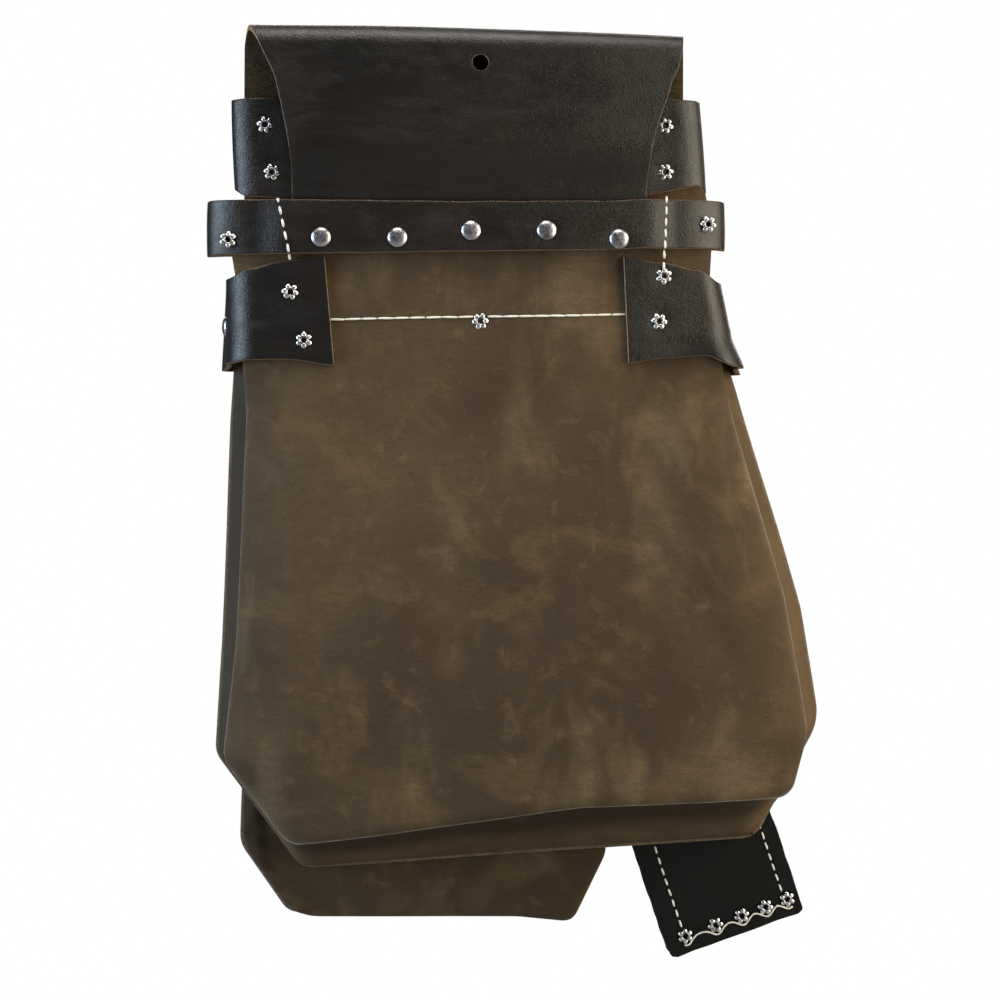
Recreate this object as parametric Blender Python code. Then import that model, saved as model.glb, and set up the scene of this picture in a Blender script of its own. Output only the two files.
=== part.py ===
"""Leather tool pouch for a work belt: a tall suede bag with a second pocket and a sheath hung on its front.

The wearer's side faces -Y, +X is to the right seen from there, and +Z is up. The origin is in the
middle of the belt tunnel's width, on the wearer's face of the back panel. Sizes are in millimetres
and become metres where a mesh or an object is made.
"""

import math

import bmesh
import bpy
from mathutils import Matrix, Vector

MM = 0.001

# Leather and clearances
SUEDE = 2.0
DARK = 2.5
GAP = 0.4
SEAM_GAP = 0.7

# Back panel
PANEL_TOP = 3.0
PANEL_NECK_HALF_WIDTH = 100.2
PANEL_SHOULDER_HALF_WIDTH = 104.9
SHOULDER_FOOT = -63.0
SHOULDER_TOP = -38.0
SHOULDER_RISE = 3.0
CREASE_Z = -120.0
CREASE_TILT = math.radians(1.2)

# Tunnel sheet: a board behind the back panel, folded over the top into the belt flap
BOARD_Y = SUEDE + GAP
BOARD_BOTTOM = -97.0
SHEET_HALF_WIDTH = 98.0
FLAP_END_HALF_WIDTH = 78.6
FLAP_TOP = 36.0
FLAP_END = -62.0
FLAP_FLARE = 2.1
FLAP_BULGE = 11.0
FOLD_CENTRE_Z = 28.3
BULGE_BOTTOM = -14.0
OVER_BAND_Z = -34.8
CLAMP_TOP = -39.2
HANG_HOLE = (4.0, 21.0)
HANG_HOLE_RADIUS = 3.7

# Strap that clamps the flap's end
STRAP_TOP = -39.5
STRAP_BOTTOM = -64.0
STRAP_REACH = {"left": 116.5, "right": 119.5}
STRAP_END_X = 79.0
STRAP_STEP = (81.0, 91.0)
STRAP_RIVETS = ((-66.5, -56.0), (-32.7, -56.0), (0.4, -52.8), (34.7, -52.2), (67.7, -55.5))
STRAP_END_RIVETS = {"left": (-107.4, -57.0), "right": (109.8, -47.6)}

# Tool band across the front of the board, its ends wrapped round to the wearer's side
BAND_TOP = 6.0
BAND_BOTTOM = -34.0
BAND_HALF_LENGTH = 106.0
BAND_END_X = 74.0
BAND_DIVIDERS = (-46.0, 0.0, 46.0)
BAND_RIVETS_LEFT = ((-91.0, -6.0), (-88.0, -27.0))
BAND_RIVETS_RIGHT = ((89.7, -3.5), (89.7, -24.5))
LOOP_FLAT = 8.0
LOOP_BULGE = 13.0

# Main bag
MOUTH_Z = -66.0
MOUTH_DEPTH = 42.0
FRONT_TILT = math.radians(4.0)
BACK_EDGE = (
    (-102.9, -66.0, 0),
    (-99.2, -135.0, 60),
    (-104.2, -240.0, 60),
    (-110.3, -288.5, 12),
    (-80.6, -328.0, 10),
    (50.0, -312.0, 60),
    (148.5, -309.0, 9),
    (156.5, -280.0, 25),
    (146.0, -218.0, 60),
    (118.5, -118.0, 60),
    (104.5, -66.0, 0),
)
FRONT_EDGE = (
    (-102.0, 0.0, 0),
    (-106.5, -70.0, 60),
    (-110.4, -172.0, 60),
    (-113.8, -225.0, 12),
    (-73.5, -280.5, 12),
    (50.0, -273.5, 60),
    (143.0, -269.0, 12),
    (173.0, -213.0, 25),
    (163.0, -158.0, 60),
    (132.0, -55.0, 60),
    (113.0, 0.0, 0),
)

# Corner wraps at the bag's mouth
WRAP_STAND_OFF = 3.4
WRAP_CORNER = 4.0
WRAP_BOTTOM = -115.0
LEFT_WRAP = {"inner": -63.0, "top_inner": -65.5, "top_outer": -76.0}
RIGHT_WRAP = {"inner": 72.0, "top_inner": -64.8, "top_outer": -69.5}
LEFT_WRAP_RIVETS = ((-80.0, -80.3), (-74.0, -102.0))
RIGHT_WRAP_RIVETS = ((88.9, -71.7), (86.5, -92.4))
SIDE_RIVET_Z = -94.6
SIDE_RIVET_Y = 20.0
SIDE_GRIP = 10.5
SIDE_LIFT = 0.4
HEM_RIVET = (5.4, -92.9)
HEM_STITCH_Z = -91.3

# Front pocket, hung from a strip on the main bag's front
HANGER_TOP = -132.0
HANGER_BOTTOM = -148.0
HANGER_SPAN = (-97.0, 36.0)
HANGER_RIVETS = (-86.0, -30.0, 25.0)
HANGER_SEAT = 0.5
HINGE_Z = -148.3
HINGE_OUT = 1.5
POCKET_MOUTH = -14.0
POCKET_DEPTH = 24.0
POCKET_TILT = math.radians(4.5)
POCKET_BACK_EDGE = (
    (-96.0, -14.0, 0),
    (-100.5, -95.0, 60),
    (-101.0, -122.0, 15),
    (-78.0, -157.0, 10),
    (30.0, -159.0, 60),
    (56.0, -162.0, 8),
    (73.0, -127.0, 15),
    (62.0, -85.0, 60),
    (40.0, -14.0, 0),
)
POCKET_FRONT_EDGE = (
    (-96.0, 0.0, 0),
    (-101.5, -85.0, 60),
    (-102.5, -113.0, 15),
    (-79.0, -148.0, 10),
    (31.0, -151.0, 60),
    (58.0, -154.0, 8),
    (75.0, -118.0, 15),
    (63.0, -75.0, 60),
    (41.0, 0.0, 0),
)

# Sheath, swinging on one rivet
PIVOT = (71.9, -130.7)
SHEATH_LEAN = math.radians(19.0)
SHEATH_HALF_WIDTH = 34.0
SHEATH_BOTTOM = -198.0
SHEATH_SHOULDER = -42.0
SHEATH_MOUTH = -52.0
TONGUE_HALF_WIDTH = 16.0
TONGUE_TOP = 15.0
WELT = 6.5
WELT_WIDTH = 12.0
WELT_FOOT = 16.0
SHEATH_BACK_Y = 1.8
SHEATH_RIVETS = (-24.5, -9.0, 4.5, 16.8, 28.0)
SHEATH_RIVET_Z = SHEATH_BOTTOM + 8.0
SHEATH_STITCH_X = (-24.4, 27.0)

# Rivets and thread
SHANK = 1.7
HOLE = 2.1
HEAD = 4.5
HEAD_HEIGHT = 2.0
PETAL_TIP = 4.0
PETAL_ROOT = 2.9
PETAL_HEIGHT = 1.1
RIVET_SIDES = 12
HOLE_SIDES = 8
CUT_REACH = 12.0
THREAD = 0.8

COLOURS = {
    "suede": ((0.078, 0.050, 0.027), 0.95, 0.0),
    "oiled_leather": ((0.014, 0.010, 0.009), 0.42, 0.0),
    "black_leather": ((0.010, 0.010, 0.011), 0.40, 0.0),
    "nickel": ((0.66, 0.64, 0.60), 0.22, 1.0),
    "thread": ((0.78, 0.72, 0.60), 0.80, 0.0),
}

FRONT = Matrix.Translation((0, MOUTH_DEPTH, MOUTH_Z)) @ Matrix.Rotation(FRONT_TILT, 4, "X")
HINGE = FRONT @ Matrix.Translation((0, HINGE_OUT, HINGE_Z))
POCKET_FRONT = Matrix.Translation((0, POCKET_DEPTH, POCKET_MOUTH)) @ Matrix.Rotation(POCKET_TILT, 4, "X")
SHEATH = (
    FRONT
    @ Matrix.Translation((PIVOT[0], 0, PIVOT[1]))
    @ Matrix.Rotation(-SHEATH_LEAN, 4, "Y")
)


def clear_scene():
    for item in list(bpy.data.objects):
        bpy.data.objects.remove(item, do_unlink=True)


def material(name):
    """The named finish, one material for each object that wears it."""
    colour, roughness, metallic = COLOURS[name]
    made = bpy.data.materials.new(name)
    made.use_nodes = True
    shader = made.node_tree.nodes["Principled BSDF"]
    shader.inputs["Base Color"].default_value = (*colour, 1.0)
    shader.inputs["Roughness"].default_value = roughness
    shader.inputs["Metallic"].default_value = metallic
    made.diffuse_color = (*colour, 1.0)
    return made


def scaled(frame):
    """A frame in millimetres as an object's matrix in metres."""
    placed = frame.copy()
    placed.translation = frame.translation * MM
    return placed


def empty(name, frame):
    made = bpy.data.objects.new(name, None)
    bpy.context.collection.objects.link(made)
    made.matrix_world = scaled(frame)
    return made


def add_object(name, mesh_data, finish, frame=None, parent=None):
    """Turn a bmesh into a closed, outward-facing object placed by a frame or on its parent's origin."""
    bmesh.ops.recalc_face_normals(mesh_data, faces=mesh_data.faces)
    bmesh.ops.scale(mesh_data, vec=(MM, MM, MM), verts=mesh_data.verts)
    mesh = bpy.data.meshes.new(name)
    mesh_data.to_mesh(mesh)
    mesh_data.free()
    made = bpy.data.objects.new(name, mesh)
    bpy.context.collection.objects.link(made)
    made.data.materials.append(material(finish))
    if parent is not None:
        made.parent = parent
    elif frame is not None:
        made.matrix_world = scaled(frame)
    return made


def rounded(corners, segments=4):
    """An open path of (a, b, radius) corners with each inner corner replaced by an arc."""
    path = [Vector(corners[0][:2])]
    for before, corner, after in zip(corners, corners[1:], corners[2:]):
        here = Vector(corner[:2])
        back = (Vector(before[:2]) - here).normalized()
        ahead = (Vector(after[:2]) - here).normalized()
        half = back.angle(ahead) / 2
        reach = corner[2] / math.tan(half)
        centre = here + (back + ahead).normalized() * (corner[2] / math.sin(half))
        start = here + back * reach - centre
        sweep = (math.pi - 2 * half) / segments
        if start.x * back.y - start.y * back.x > 0:
            sweep = -sweep
        for step in range(segments + 1):
            turned = Matrix.Rotation(sweep * step, 2) @ start
            path.append(centre + turned)
    path.append(Vector(corners[-1][:2]))
    return path


def offset_path(path, distance):
    """The open path moved sideways, to the left of its direction, with mitred corners."""
    moved = []
    for index, point in enumerate(path):
        before = path[max(index - 1, 0)]
        after = path[min(index + 1, len(path) - 1)]
        into = (point - before) if index > 0 else (after - point)
        out = (after - point) if index < len(path) - 1 else into
        normal_in = Vector((-into.y, into.x)).normalized()
        normal_out = Vector((-out.y, out.x)).normalized()
        mitre = (normal_in + normal_out).normalized()
        moved.append(point + mitre * (distance / mitre.dot(normal_in)))
    return moved


def slab(name, face_a, face_b, finish, frame=None, parent=None):
    """A closed sheet between two grids of points with the same rows and columns."""
    rows, columns = len(face_a), len(face_a[0])
    shape = bmesh.new()
    near = [[shape.verts.new(point) for point in row] for row in face_a]
    far = [[shape.verts.new(point) for point in row] for row in face_b]
    for r in range(rows - 1):
        for c in range(columns - 1):
            shape.faces.new((near[r][c], near[r][c + 1], near[r + 1][c + 1], near[r + 1][c]))
            shape.faces.new((far[r][c], far[r + 1][c], far[r + 1][c + 1], far[r][c + 1]))
    for r in range(rows - 1):
        shape.faces.new((near[r][0], near[r + 1][0], far[r + 1][0], far[r][0]))
        shape.faces.new((near[r][-1], far[r][-1], far[r + 1][-1], near[r + 1][-1]))
    for c in range(columns - 1):
        shape.faces.new((near[0][c], far[0][c], far[0][c + 1], near[0][c + 1]))
        shape.faces.new((near[-1][c], near[-1][c + 1], far[-1][c + 1], far[-1][c]))
    return add_object(name, shape, finish, frame, parent)


def plate(name, outline, start_y, thickness, finish, frame=None, parent=None, crease=None):
    """A flat sheet cut to an outline in X and Z; below a crease it leans towards -Y."""
    shape = bmesh.new()
    corners = [shape.verts.new((x, start_y, z)) for x, z in outline]
    shape.faces.new(corners)
    if crease is not None:
        height, tilt = crease
        bmesh.ops.bisect_plane(
            shape,
            geom=shape.verts[:] + shape.edges[:] + shape.faces[:],
            plane_co=(0, 0, height),
            plane_no=(0, 0, 1),
        )
        for corner in shape.verts:
            if corner.co.z < height:
                corner.co.y += (corner.co.z - height) * math.tan(tilt)
    raised = bmesh.ops.extrude_face_region(shape, geom=shape.faces[:])
    lifted = [item for item in raised["geom"] if isinstance(item, bmesh.types.BMVert)]
    bmesh.ops.translate(shape, verts=lifted, vec=(0, thickness, 0))
    return add_object(name, shape, finish, frame, parent)


def strip(name, path, low, high, thickness, finish, frame=None, parent=None):
    """A leather strip on edge: its path lies in X and Y, and low and high give its Z at each point."""
    outer = offset_path(path, thickness)
    inner_rows = [
        [(point.x, point.y, low(point.x)) for point in path],
        [(point.x, point.y, high(point.x)) for point in path],
    ]
    outer_rows = [
        [(out.x, out.y, low(point.x)) for point, out in zip(path, outer)],
        [(out.x, out.y, high(point.x)) for point, out in zip(path, outer)],
    ]
    return slab(name, inner_rows, outer_rows, finish, frame, parent)


def pierce(pieces, seat, direction, radius=HOLE):
    """Drill one straight hole through each of the pieces, along the rivet's axis."""
    shape = bmesh.new()
    bmesh.ops.create_cone(
        shape,
        cap_ends=True,
        segments=HOLE_SIDES,
        radius1=radius,
        radius2=radius,
        depth=2 * CUT_REACH,
    )
    frame = Matrix.Translation(seat) @ direction.to_track_quat("Z", "Y").to_matrix().to_4x4()
    cutter = add_object("drill", shape, "nickel", frame)
    cutter.hide_render = True
    cutter.display_type = "WIRE"
    for piece in pieces:
        cut = piece.modifiers.new("hole", "BOOLEAN")
        cut.operation = "DIFFERENCE"
        cut.object = cutter


def rivet(name, seat, direction, grip, pieces, parent=None):
    """A tubular rivet: a low dome on the seat, facing direction, and six turned petals past the grip."""
    profile = (
        (HEAD * 0.62, HEAD_HEIGHT * 0.8, 1.0),
        (HEAD, 0.35, 1.0),
        (HEAD, 0.05, 1.0),
        (SHANK, 0.05, 1.0),
        (SHANK, -grip - 0.05, 1.0),
        (PETAL_TIP, -grip - 0.05, PETAL_ROOT / PETAL_TIP),
        (PETAL_TIP * 0.9, -grip - PETAL_HEIGHT, PETAL_ROOT / PETAL_TIP),
        (1.4, -grip - PETAL_HEIGHT, 1.0),
    )
    shape = bmesh.new()
    rings = []
    for radius, height, waist in profile:
        ring = []
        for side in range(RIVET_SIDES):
            angle = 2 * math.pi * side / RIVET_SIDES
            reach = radius * (waist if side % 2 else 1.0)
            ring.append(shape.verts.new((reach * math.cos(angle), reach * math.sin(angle), height)))
        rings.append(ring)
    for upper, lower in zip(rings, rings[1:]):
        for side in range(RIVET_SIDES):
            after = (side + 1) % RIVET_SIDES
            shape.faces.new((upper[side], lower[side], lower[after], upper[after]))
    crown = shape.verts.new((0, 0, HEAD_HEIGHT))
    bore = shape.verts.new((0, 0, -grip - PETAL_HEIGHT * 0.3))
    for side in range(RIVET_SIDES):
        after = (side + 1) % RIVET_SIDES
        shape.faces.new((crown, rings[0][side], rings[0][after]))
        shape.faces.new((bore, rings[-1][after], rings[-1][side]))
    turn = direction.to_track_quat("Z", "Y").to_matrix().to_4x4()
    frame = Matrix.Translation(seat) @ turn
    made = add_object(name, shape, "nickel", frame)
    pierce(pieces, Vector(seat) - direction * (grip / 2), direction)
    if parent is not None:
        bpy.context.view_layer.update()
        world = made.matrix_world.copy()
        made.parent = parent
        made.matrix_parent_inverse = parent.matrix_world.inverted()
        made.matrix_world = world
    return made


def bag_strip(name, back_path, front_path, back_point, front_point, thickness, parent=None):
    """The gusset of a bag: one strip between the back panel's edge and the front panel's edge."""
    rows = []
    for back, front in ((back_path, front_path),
                        (offset_path(back_path, thickness), offset_path(front_path, thickness))):
        near = [back_point(point) for point in back]
        far = [front_point(point) for point in front]
        rows.append([near, far])
    return slab(name, rows[0], rows[1], "suede", parent=parent)


def back_panel_y(z):
    """The wearer's face of the back panel at a height."""
    return min(0.0, (z - CREASE_Z) * math.tan(CREASE_TILT))


def edge_x(edge, z):
    """Where a bag's side edge, given from the mouth down, stands at a height."""
    for upper, lower in zip(edge, edge[1:]):
        if upper[1] >= z >= lower[1]:
            share = (upper[1] - z) / (upper[1] - lower[1])
            return upper[0] + (lower[0] - upper[0]) * share
    return edge[0][0]


def flap_half_width(z):
    """The flap narrows from the fold to its clamped end along a curve."""
    share = (z - FLAP_END) / (FLAP_TOP - FLAP_END)
    widen = SHEET_HALF_WIDTH - FLAP_END_HALF_WIDTH
    return FLAP_END_HALF_WIDTH + widen * max(0.0, min(1.0, share)) ** FLAP_FLARE


def smooth(share):
    share = max(0.0, min(1.0, share))
    return share * share * (3 - 2 * share)


def make_back_panel():
    bag_edge = [(point.x, point.y) for point in rounded(BACK_EDGE)]
    shoulder = [
        (PANEL_SHOULDER_HALF_WIDTH, SHOULDER_FOOT),
        (PANEL_SHOULDER_HALF_WIDTH, SHOULDER_TOP),
        (PANEL_NECK_HALF_WIDTH, SHOULDER_TOP + SHOULDER_RISE),
        (PANEL_NECK_HALF_WIDTH, PANEL_TOP),
    ]
    top = shoulder + [(-x, z) for x, z in reversed(shoulder)]
    return plate("back_panel", bag_edge + top, 0.0, SUEDE, "suede", crease=(CREASE_Z, CREASE_TILT))


def make_tunnel_sheet():
    """The board rises in front of the back panel, folds over it and comes down as the flap."""
    front = BOARD_Y
    rear = -FLAP_BULGE
    radius = (front - rear) / 2
    centre_y = (front + rear) / 2
    profile = [(front, BOARD_BOTTOM), (front, -50.0), (front, 0.0)]
    for step in range(9):
        angle = math.pi * step / 8
        profile.append((centre_y + radius * math.cos(angle), FOLD_CENTRE_Z + radius * math.sin(angle)))
    profile += [(rear, 14.0), (rear, 0.0)]
    over_band = -GAP - DARK - 2 * GAP
    for step in range(6):
        share = step / 5
        height = BULGE_BOTTOM + (OVER_BAND_Z - BULGE_BOTTOM) * share
        profile.append((rear + (over_band - rear) * smooth(share), height))
    profile += [(-GAP, CLAMP_TOP), (-GAP, FLAP_END)]
    inner = [Vector(point) for point in profile]
    outer = offset_path(inner, -DARK)
    fold_index = 7
    near, far = [], []
    for index, (a, b) in enumerate(zip(inner, outer)):
        half = SHEET_HALF_WIDTH if index < fold_index else flap_half_width(a.y)
        near.append([(half * side, a.x, a.y) for side in (-1.0, -0.5, 0.0, 0.5, 1.0)])
        far.append([(half * side, b.x, b.y) for side in (-1.0, -0.5, 0.0, 0.5, 1.0)])
    sheet = slab("tunnel_sheet", near, far, "oiled_leather")
    pierce([sheet], Vector((HANG_HOLE[0], rear - DARK / 2, HANG_HOLE[1])), Vector((0, -1, 0)), HANG_HOLE_RADIUS)
    return sheet


def half_turn(side, centre_x, centre_y, radius, steps=5):
    """Points round the end fold, from the wearer's side to the front, on the side given by its sign."""
    points = []
    for step in range(steps + 1):
        angle = math.pi * step / steps
        points.append(Vector((side * (centre_x + radius * math.sin(angle)),
                              centre_y - radius * math.cos(angle))))
    return points


def make_strap():
    """The strap lies over the flap's end, steps down to the back panel and folds round both sides."""
    front = SUEDE + GAP + DARK + GAP
    radius = (front + GAP) / 2
    step_in, step_out = STRAP_STEP
    raised = -GAP - DARK - GAP
    halves = []
    for side, reach in ((-1, STRAP_REACH["left"]), (1, STRAP_REACH["right"])):
        half = [Vector((side * x, raised)) for x in (20.0, 50.0, step_in)]
        for step in range(1, 5):
            share = step / 4
            x = step_in + (step_out - step_in) * share
            half.append(Vector((side * x, raised + (-GAP - raised) * smooth(share))))
        half += half_turn(side, reach - DARK - radius, (front - GAP) / 2, radius)
        half.append(Vector((side * STRAP_END_X, front)))
        halves.append(half)
    path = list(reversed(halves[0])) + halves[1]
    return strip("clamp_strap", path, lambda x: STRAP_BOTTOM, lambda x: STRAP_TOP, -DARK, "oiled_leather")


def make_band():
    """The tool band: four open loops between rivets on the front, both ends wrapped to the back."""
    front = SUEDE + GAP + DARK + GAP
    radius = (front + GAP) / 2
    fold_x = BAND_HALF_LENGTH - DARK - radius
    path = [Vector((-BAND_END_X, -GAP))]
    path += half_turn(-1, fold_x, (front - GAP) / 2, radius)
    posts = (-BAND_RIVETS_RIGHT[0][0], *BAND_DIVIDERS, BAND_RIVETS_RIGHT[0][0])
    for post, after in zip(posts, posts[1:]):
        start, end = post + LOOP_FLAT, after - LOOP_FLAT
        for step in range(9):
            share = step / 8
            rise = LOOP_BULGE * math.sin(math.pi * share) ** 1.5
            path.append(Vector((start + (end - start) * share, front + rise)))
    path += list(reversed(half_turn(1, fold_x, (front - GAP) / 2, radius)))
    path.append(Vector((BAND_END_X, -GAP)))
    return strip("tool_band", path, lambda x: BAND_BOTTOM, lambda x: BAND_TOP, DARK, "oiled_leather")


def front_y(z):
    """The outer face of the main bag's front panel at a height."""
    return MOUTH_DEPTH + (MOUTH_Z - z) * math.tan(FRONT_TILT)


def wrap_path(side, wrap, z):
    """The inside of a corner wrap at one height: along the back, round the side, along the front."""
    back_side = BACK_EDGE if side < 0 else tuple(reversed(BACK_EDGE))
    front_side = FRONT_EDGE if side < 0 else tuple(reversed(FRONT_EDGE))
    back_x = edge_x(back_side, z) + side * WRAP_STAND_OFF
    front_x = edge_x(front_side, (z - MOUTH_Z) / math.cos(FRONT_TILT)) + side * WRAP_STAND_OFF
    outside = front_y(z) + GAP
    corners = (
        (wrap["inner"], -GAP, 0),
        (back_x, -GAP, WRAP_CORNER),
        (front_x, outside, WRAP_CORNER),
        (wrap["inner"], outside, 0),
    )
    return rounded(corners)


def make_wrap(name, side, wrap):
    """A corner wrap, lofted over three heights, its top edge rising towards its inner ends."""
    near, far = [], []
    for share in (0.0, 0.5, 1.0):
        inner_z = wrap["top_inner"] + (WRAP_BOTTOM - wrap["top_inner"]) * share
        outer_z = wrap["top_outer"] + (WRAP_BOTTOM - wrap["top_outer"]) * share
        path = wrap_path(side, wrap, outer_z)
        outer = offset_path(path, -DARK * side)
        row_near, row_far = [], []
        for a, b in zip(path, outer):
            reach = min(1.0, abs(a.x - wrap["inner"]) / abs(path[1].x - wrap["inner"]))
            height = inner_z + (outer_z - inner_z) * reach
            follow = (outer_z - height) * math.tan(FRONT_TILT) * max(0.0, a.y) / front_y(outer_z)
            row_near.append((a.x, a.y + follow, height))
            row_far.append((b.x, b.y + follow, height))
        near.append(row_near)
        far.append(row_far)
    return slab(name, near, far, "oiled_leather")


def make_main_bag():
    back_path = rounded(BACK_EDGE)
    front_path = rounded(FRONT_EDGE)

    def back_point(point):
        return (point.x, back_panel_y(point.y) + SUEDE + SEAM_GAP, point.y)

    def front_point(point):
        return FRONT @ Vector((point.x, -SUEDE - SEAM_GAP, point.y))

    gusset = bag_strip("main_gusset", back_path, front_path, back_point, front_point, SUEDE)
    outline = [(point.x, point.y) for point in front_path]
    front = plate("main_front_panel", outline, -SUEDE, SUEDE, "suede", frame=FRONT)
    return gusset, front


def make_pocket(hinge):
    back_path = rounded(POCKET_BACK_EDGE)
    front_path = rounded(POCKET_FRONT_EDGE)
    back_start = HANGER_SEAT - HINGE_OUT

    def back_point(point):
        return (point.x, back_start + SUEDE + SEAM_GAP, point.y)

    def front_point(point):
        return POCKET_FRONT @ Vector((point.x, -SUEDE - SEAM_GAP, point.y))

    top = [(POCKET_BACK_EDGE[-1][0] - 4.0, -0.6), (POCKET_BACK_EDGE[0][0], -0.6)]
    outline = [(point.x, point.y) for point in back_path] + top
    plate("pocket_back_panel", outline, back_start, SUEDE, "suede", parent=hinge)
    bag_strip("pocket_gusset", back_path, front_path, back_point, front_point, SUEDE, parent=hinge)
    outline = [(point.x, point.y) for point in front_path]
    front = plate("pocket_front_panel", outline, -SUEDE, SUEDE, "suede")
    front.parent = hinge
    front.matrix_local = scaled(POCKET_FRONT)


def sheath_outline(mouth, tongue):
    """The sheath's outline: a square foot, straight sides, and a narrow tongue where asked."""
    half = SHEATH_HALF_WIDTH
    corners = [(-half, mouth, 0), (-half, SHEATH_BOTTOM, 3), (half, SHEATH_BOTTOM, 3), (half, mouth, 0)]
    path = rounded(corners, 2)
    if tongue:
        slope = [
            (half, mouth, 0),
            (TONGUE_HALF_WIDTH, mouth + 18.0, 8),
            (TONGUE_HALF_WIDTH, TONGUE_TOP, 8),
            (-TONGUE_HALF_WIDTH, TONGUE_TOP, 8),
            (-TONGUE_HALF_WIDTH, mouth + 18.0, 8),
            (-half, mouth, 0),
        ]
        path = path + rounded(slope, 3)[1:-1]
    return [(point.x, point.y) for point in path]


def make_sheath(pivot):
    back_end = SHEATH_BACK_Y + DARK
    welt_start = back_end + GAP
    front_start = welt_start + WELT + GAP
    back = plate("sheath_back", sheath_outline(SHEATH_SHOULDER, True), SHEATH_BACK_Y, DARK,
                 "black_leather", parent=pivot)
    front = plate("sheath_front", sheath_outline(SHEATH_MOUTH, False), front_start, DARK,
                  "black_leather", parent=pivot)
    half = SHEATH_HALF_WIDTH
    outline = sheath_outline(SHEATH_MOUTH, False)
    inner = [
        (half - WELT_WIDTH, SHEATH_MOUTH),
        (half - WELT_WIDTH, SHEATH_BOTTOM + WELT_FOOT),
        (-half + WELT_WIDTH, SHEATH_BOTTOM + WELT_FOOT),
        (-half + WELT_WIDTH, SHEATH_MOUTH),
    ]
    welt = plate("sheath_welt", outline + inner, welt_start, WELT, "black_leather", parent=pivot)
    return back, welt, front


def thread(name, path, parent=None):
    """One row of thread as a slim square bar along a path."""
    half = THREAD / 2
    rows = []
    for y_side, z_side in ((-half, -half), (-half, half), (half, half), (half, -half)):
        rows.append([(x + z_side * lean, y + y_side, z + z_side * (1 - abs(lean))) for x, y, z, lean in path])
    shape = bmesh.new()
    lines = [[shape.verts.new(point) for point in row] for row in rows]
    for near, far in zip(lines, lines[1:] + lines[:1]):
        for index in range(len(near) - 1):
            shape.faces.new((near[index], near[index + 1], far[index + 1], far[index]))
    shape.faces.new([line[0] for line in lines])
    shape.faces.new([line[-1] for line in lines][::-1])
    return add_object(name, shape, "thread", parent=parent)


def make_threads(pivot):
    over = -GAP - THREAD / 2
    strap_face = -GAP - DARK
    thread("hem_thread", [(-60.0, over, HEM_STITCH_Z, 0.0), (1.0, over, HEM_STITCH_Z, 0.0)])
    thread("hem_thread_right", [(9.8, over, HEM_STITCH_Z, 0.0), (69.0, over, HEM_STITCH_Z, 0.0)])
    for name, x in (("strap_thread_left", -95.0), ("strap_thread_right", 95.0)):
        thread(name, [(x, strap_face + over, STRAP_BOTTOM + 1.5, 1.0), (x, strap_face + over, STRAP_TOP - 1.5, 1.0)])
    face = SHEATH_BACK_Y + over
    for name, x in (("sheath_thread_left", SHEATH_STITCH_X[0]), ("sheath_thread_right", SHEATH_STITCH_X[1])):
        thread(name, [(x, face, SHEATH_RIVET_Z + 6.0, 1.0), (x, face, SHEATH_MOUTH - 4.0, 1.0)], parent=pivot)


def side_wall(sign, wrap):
    """The side rivet's place on a wrap's side wall, and the wall's outward normal there."""
    def at_height(z):
        path = wrap_path(sign, wrap, z)
        upper, lower = path[5], path[6]
        share = (SIDE_RIVET_Y - upper.y) / (lower.y - upper.y)
        return Vector((*upper.lerp(lower, share), z)), Vector((*(lower - upper), 0))

    place, along = at_height(SIDE_RIVET_Z)
    higher, _ = at_height(SIDE_RIVET_Z + 5)
    normal = along.cross(higher - place).normalized()
    return place, normal if normal.x * sign > 0 else -normal


def to_world(frame, x, y, z):
    return frame @ Vector((x, y, z))


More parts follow.
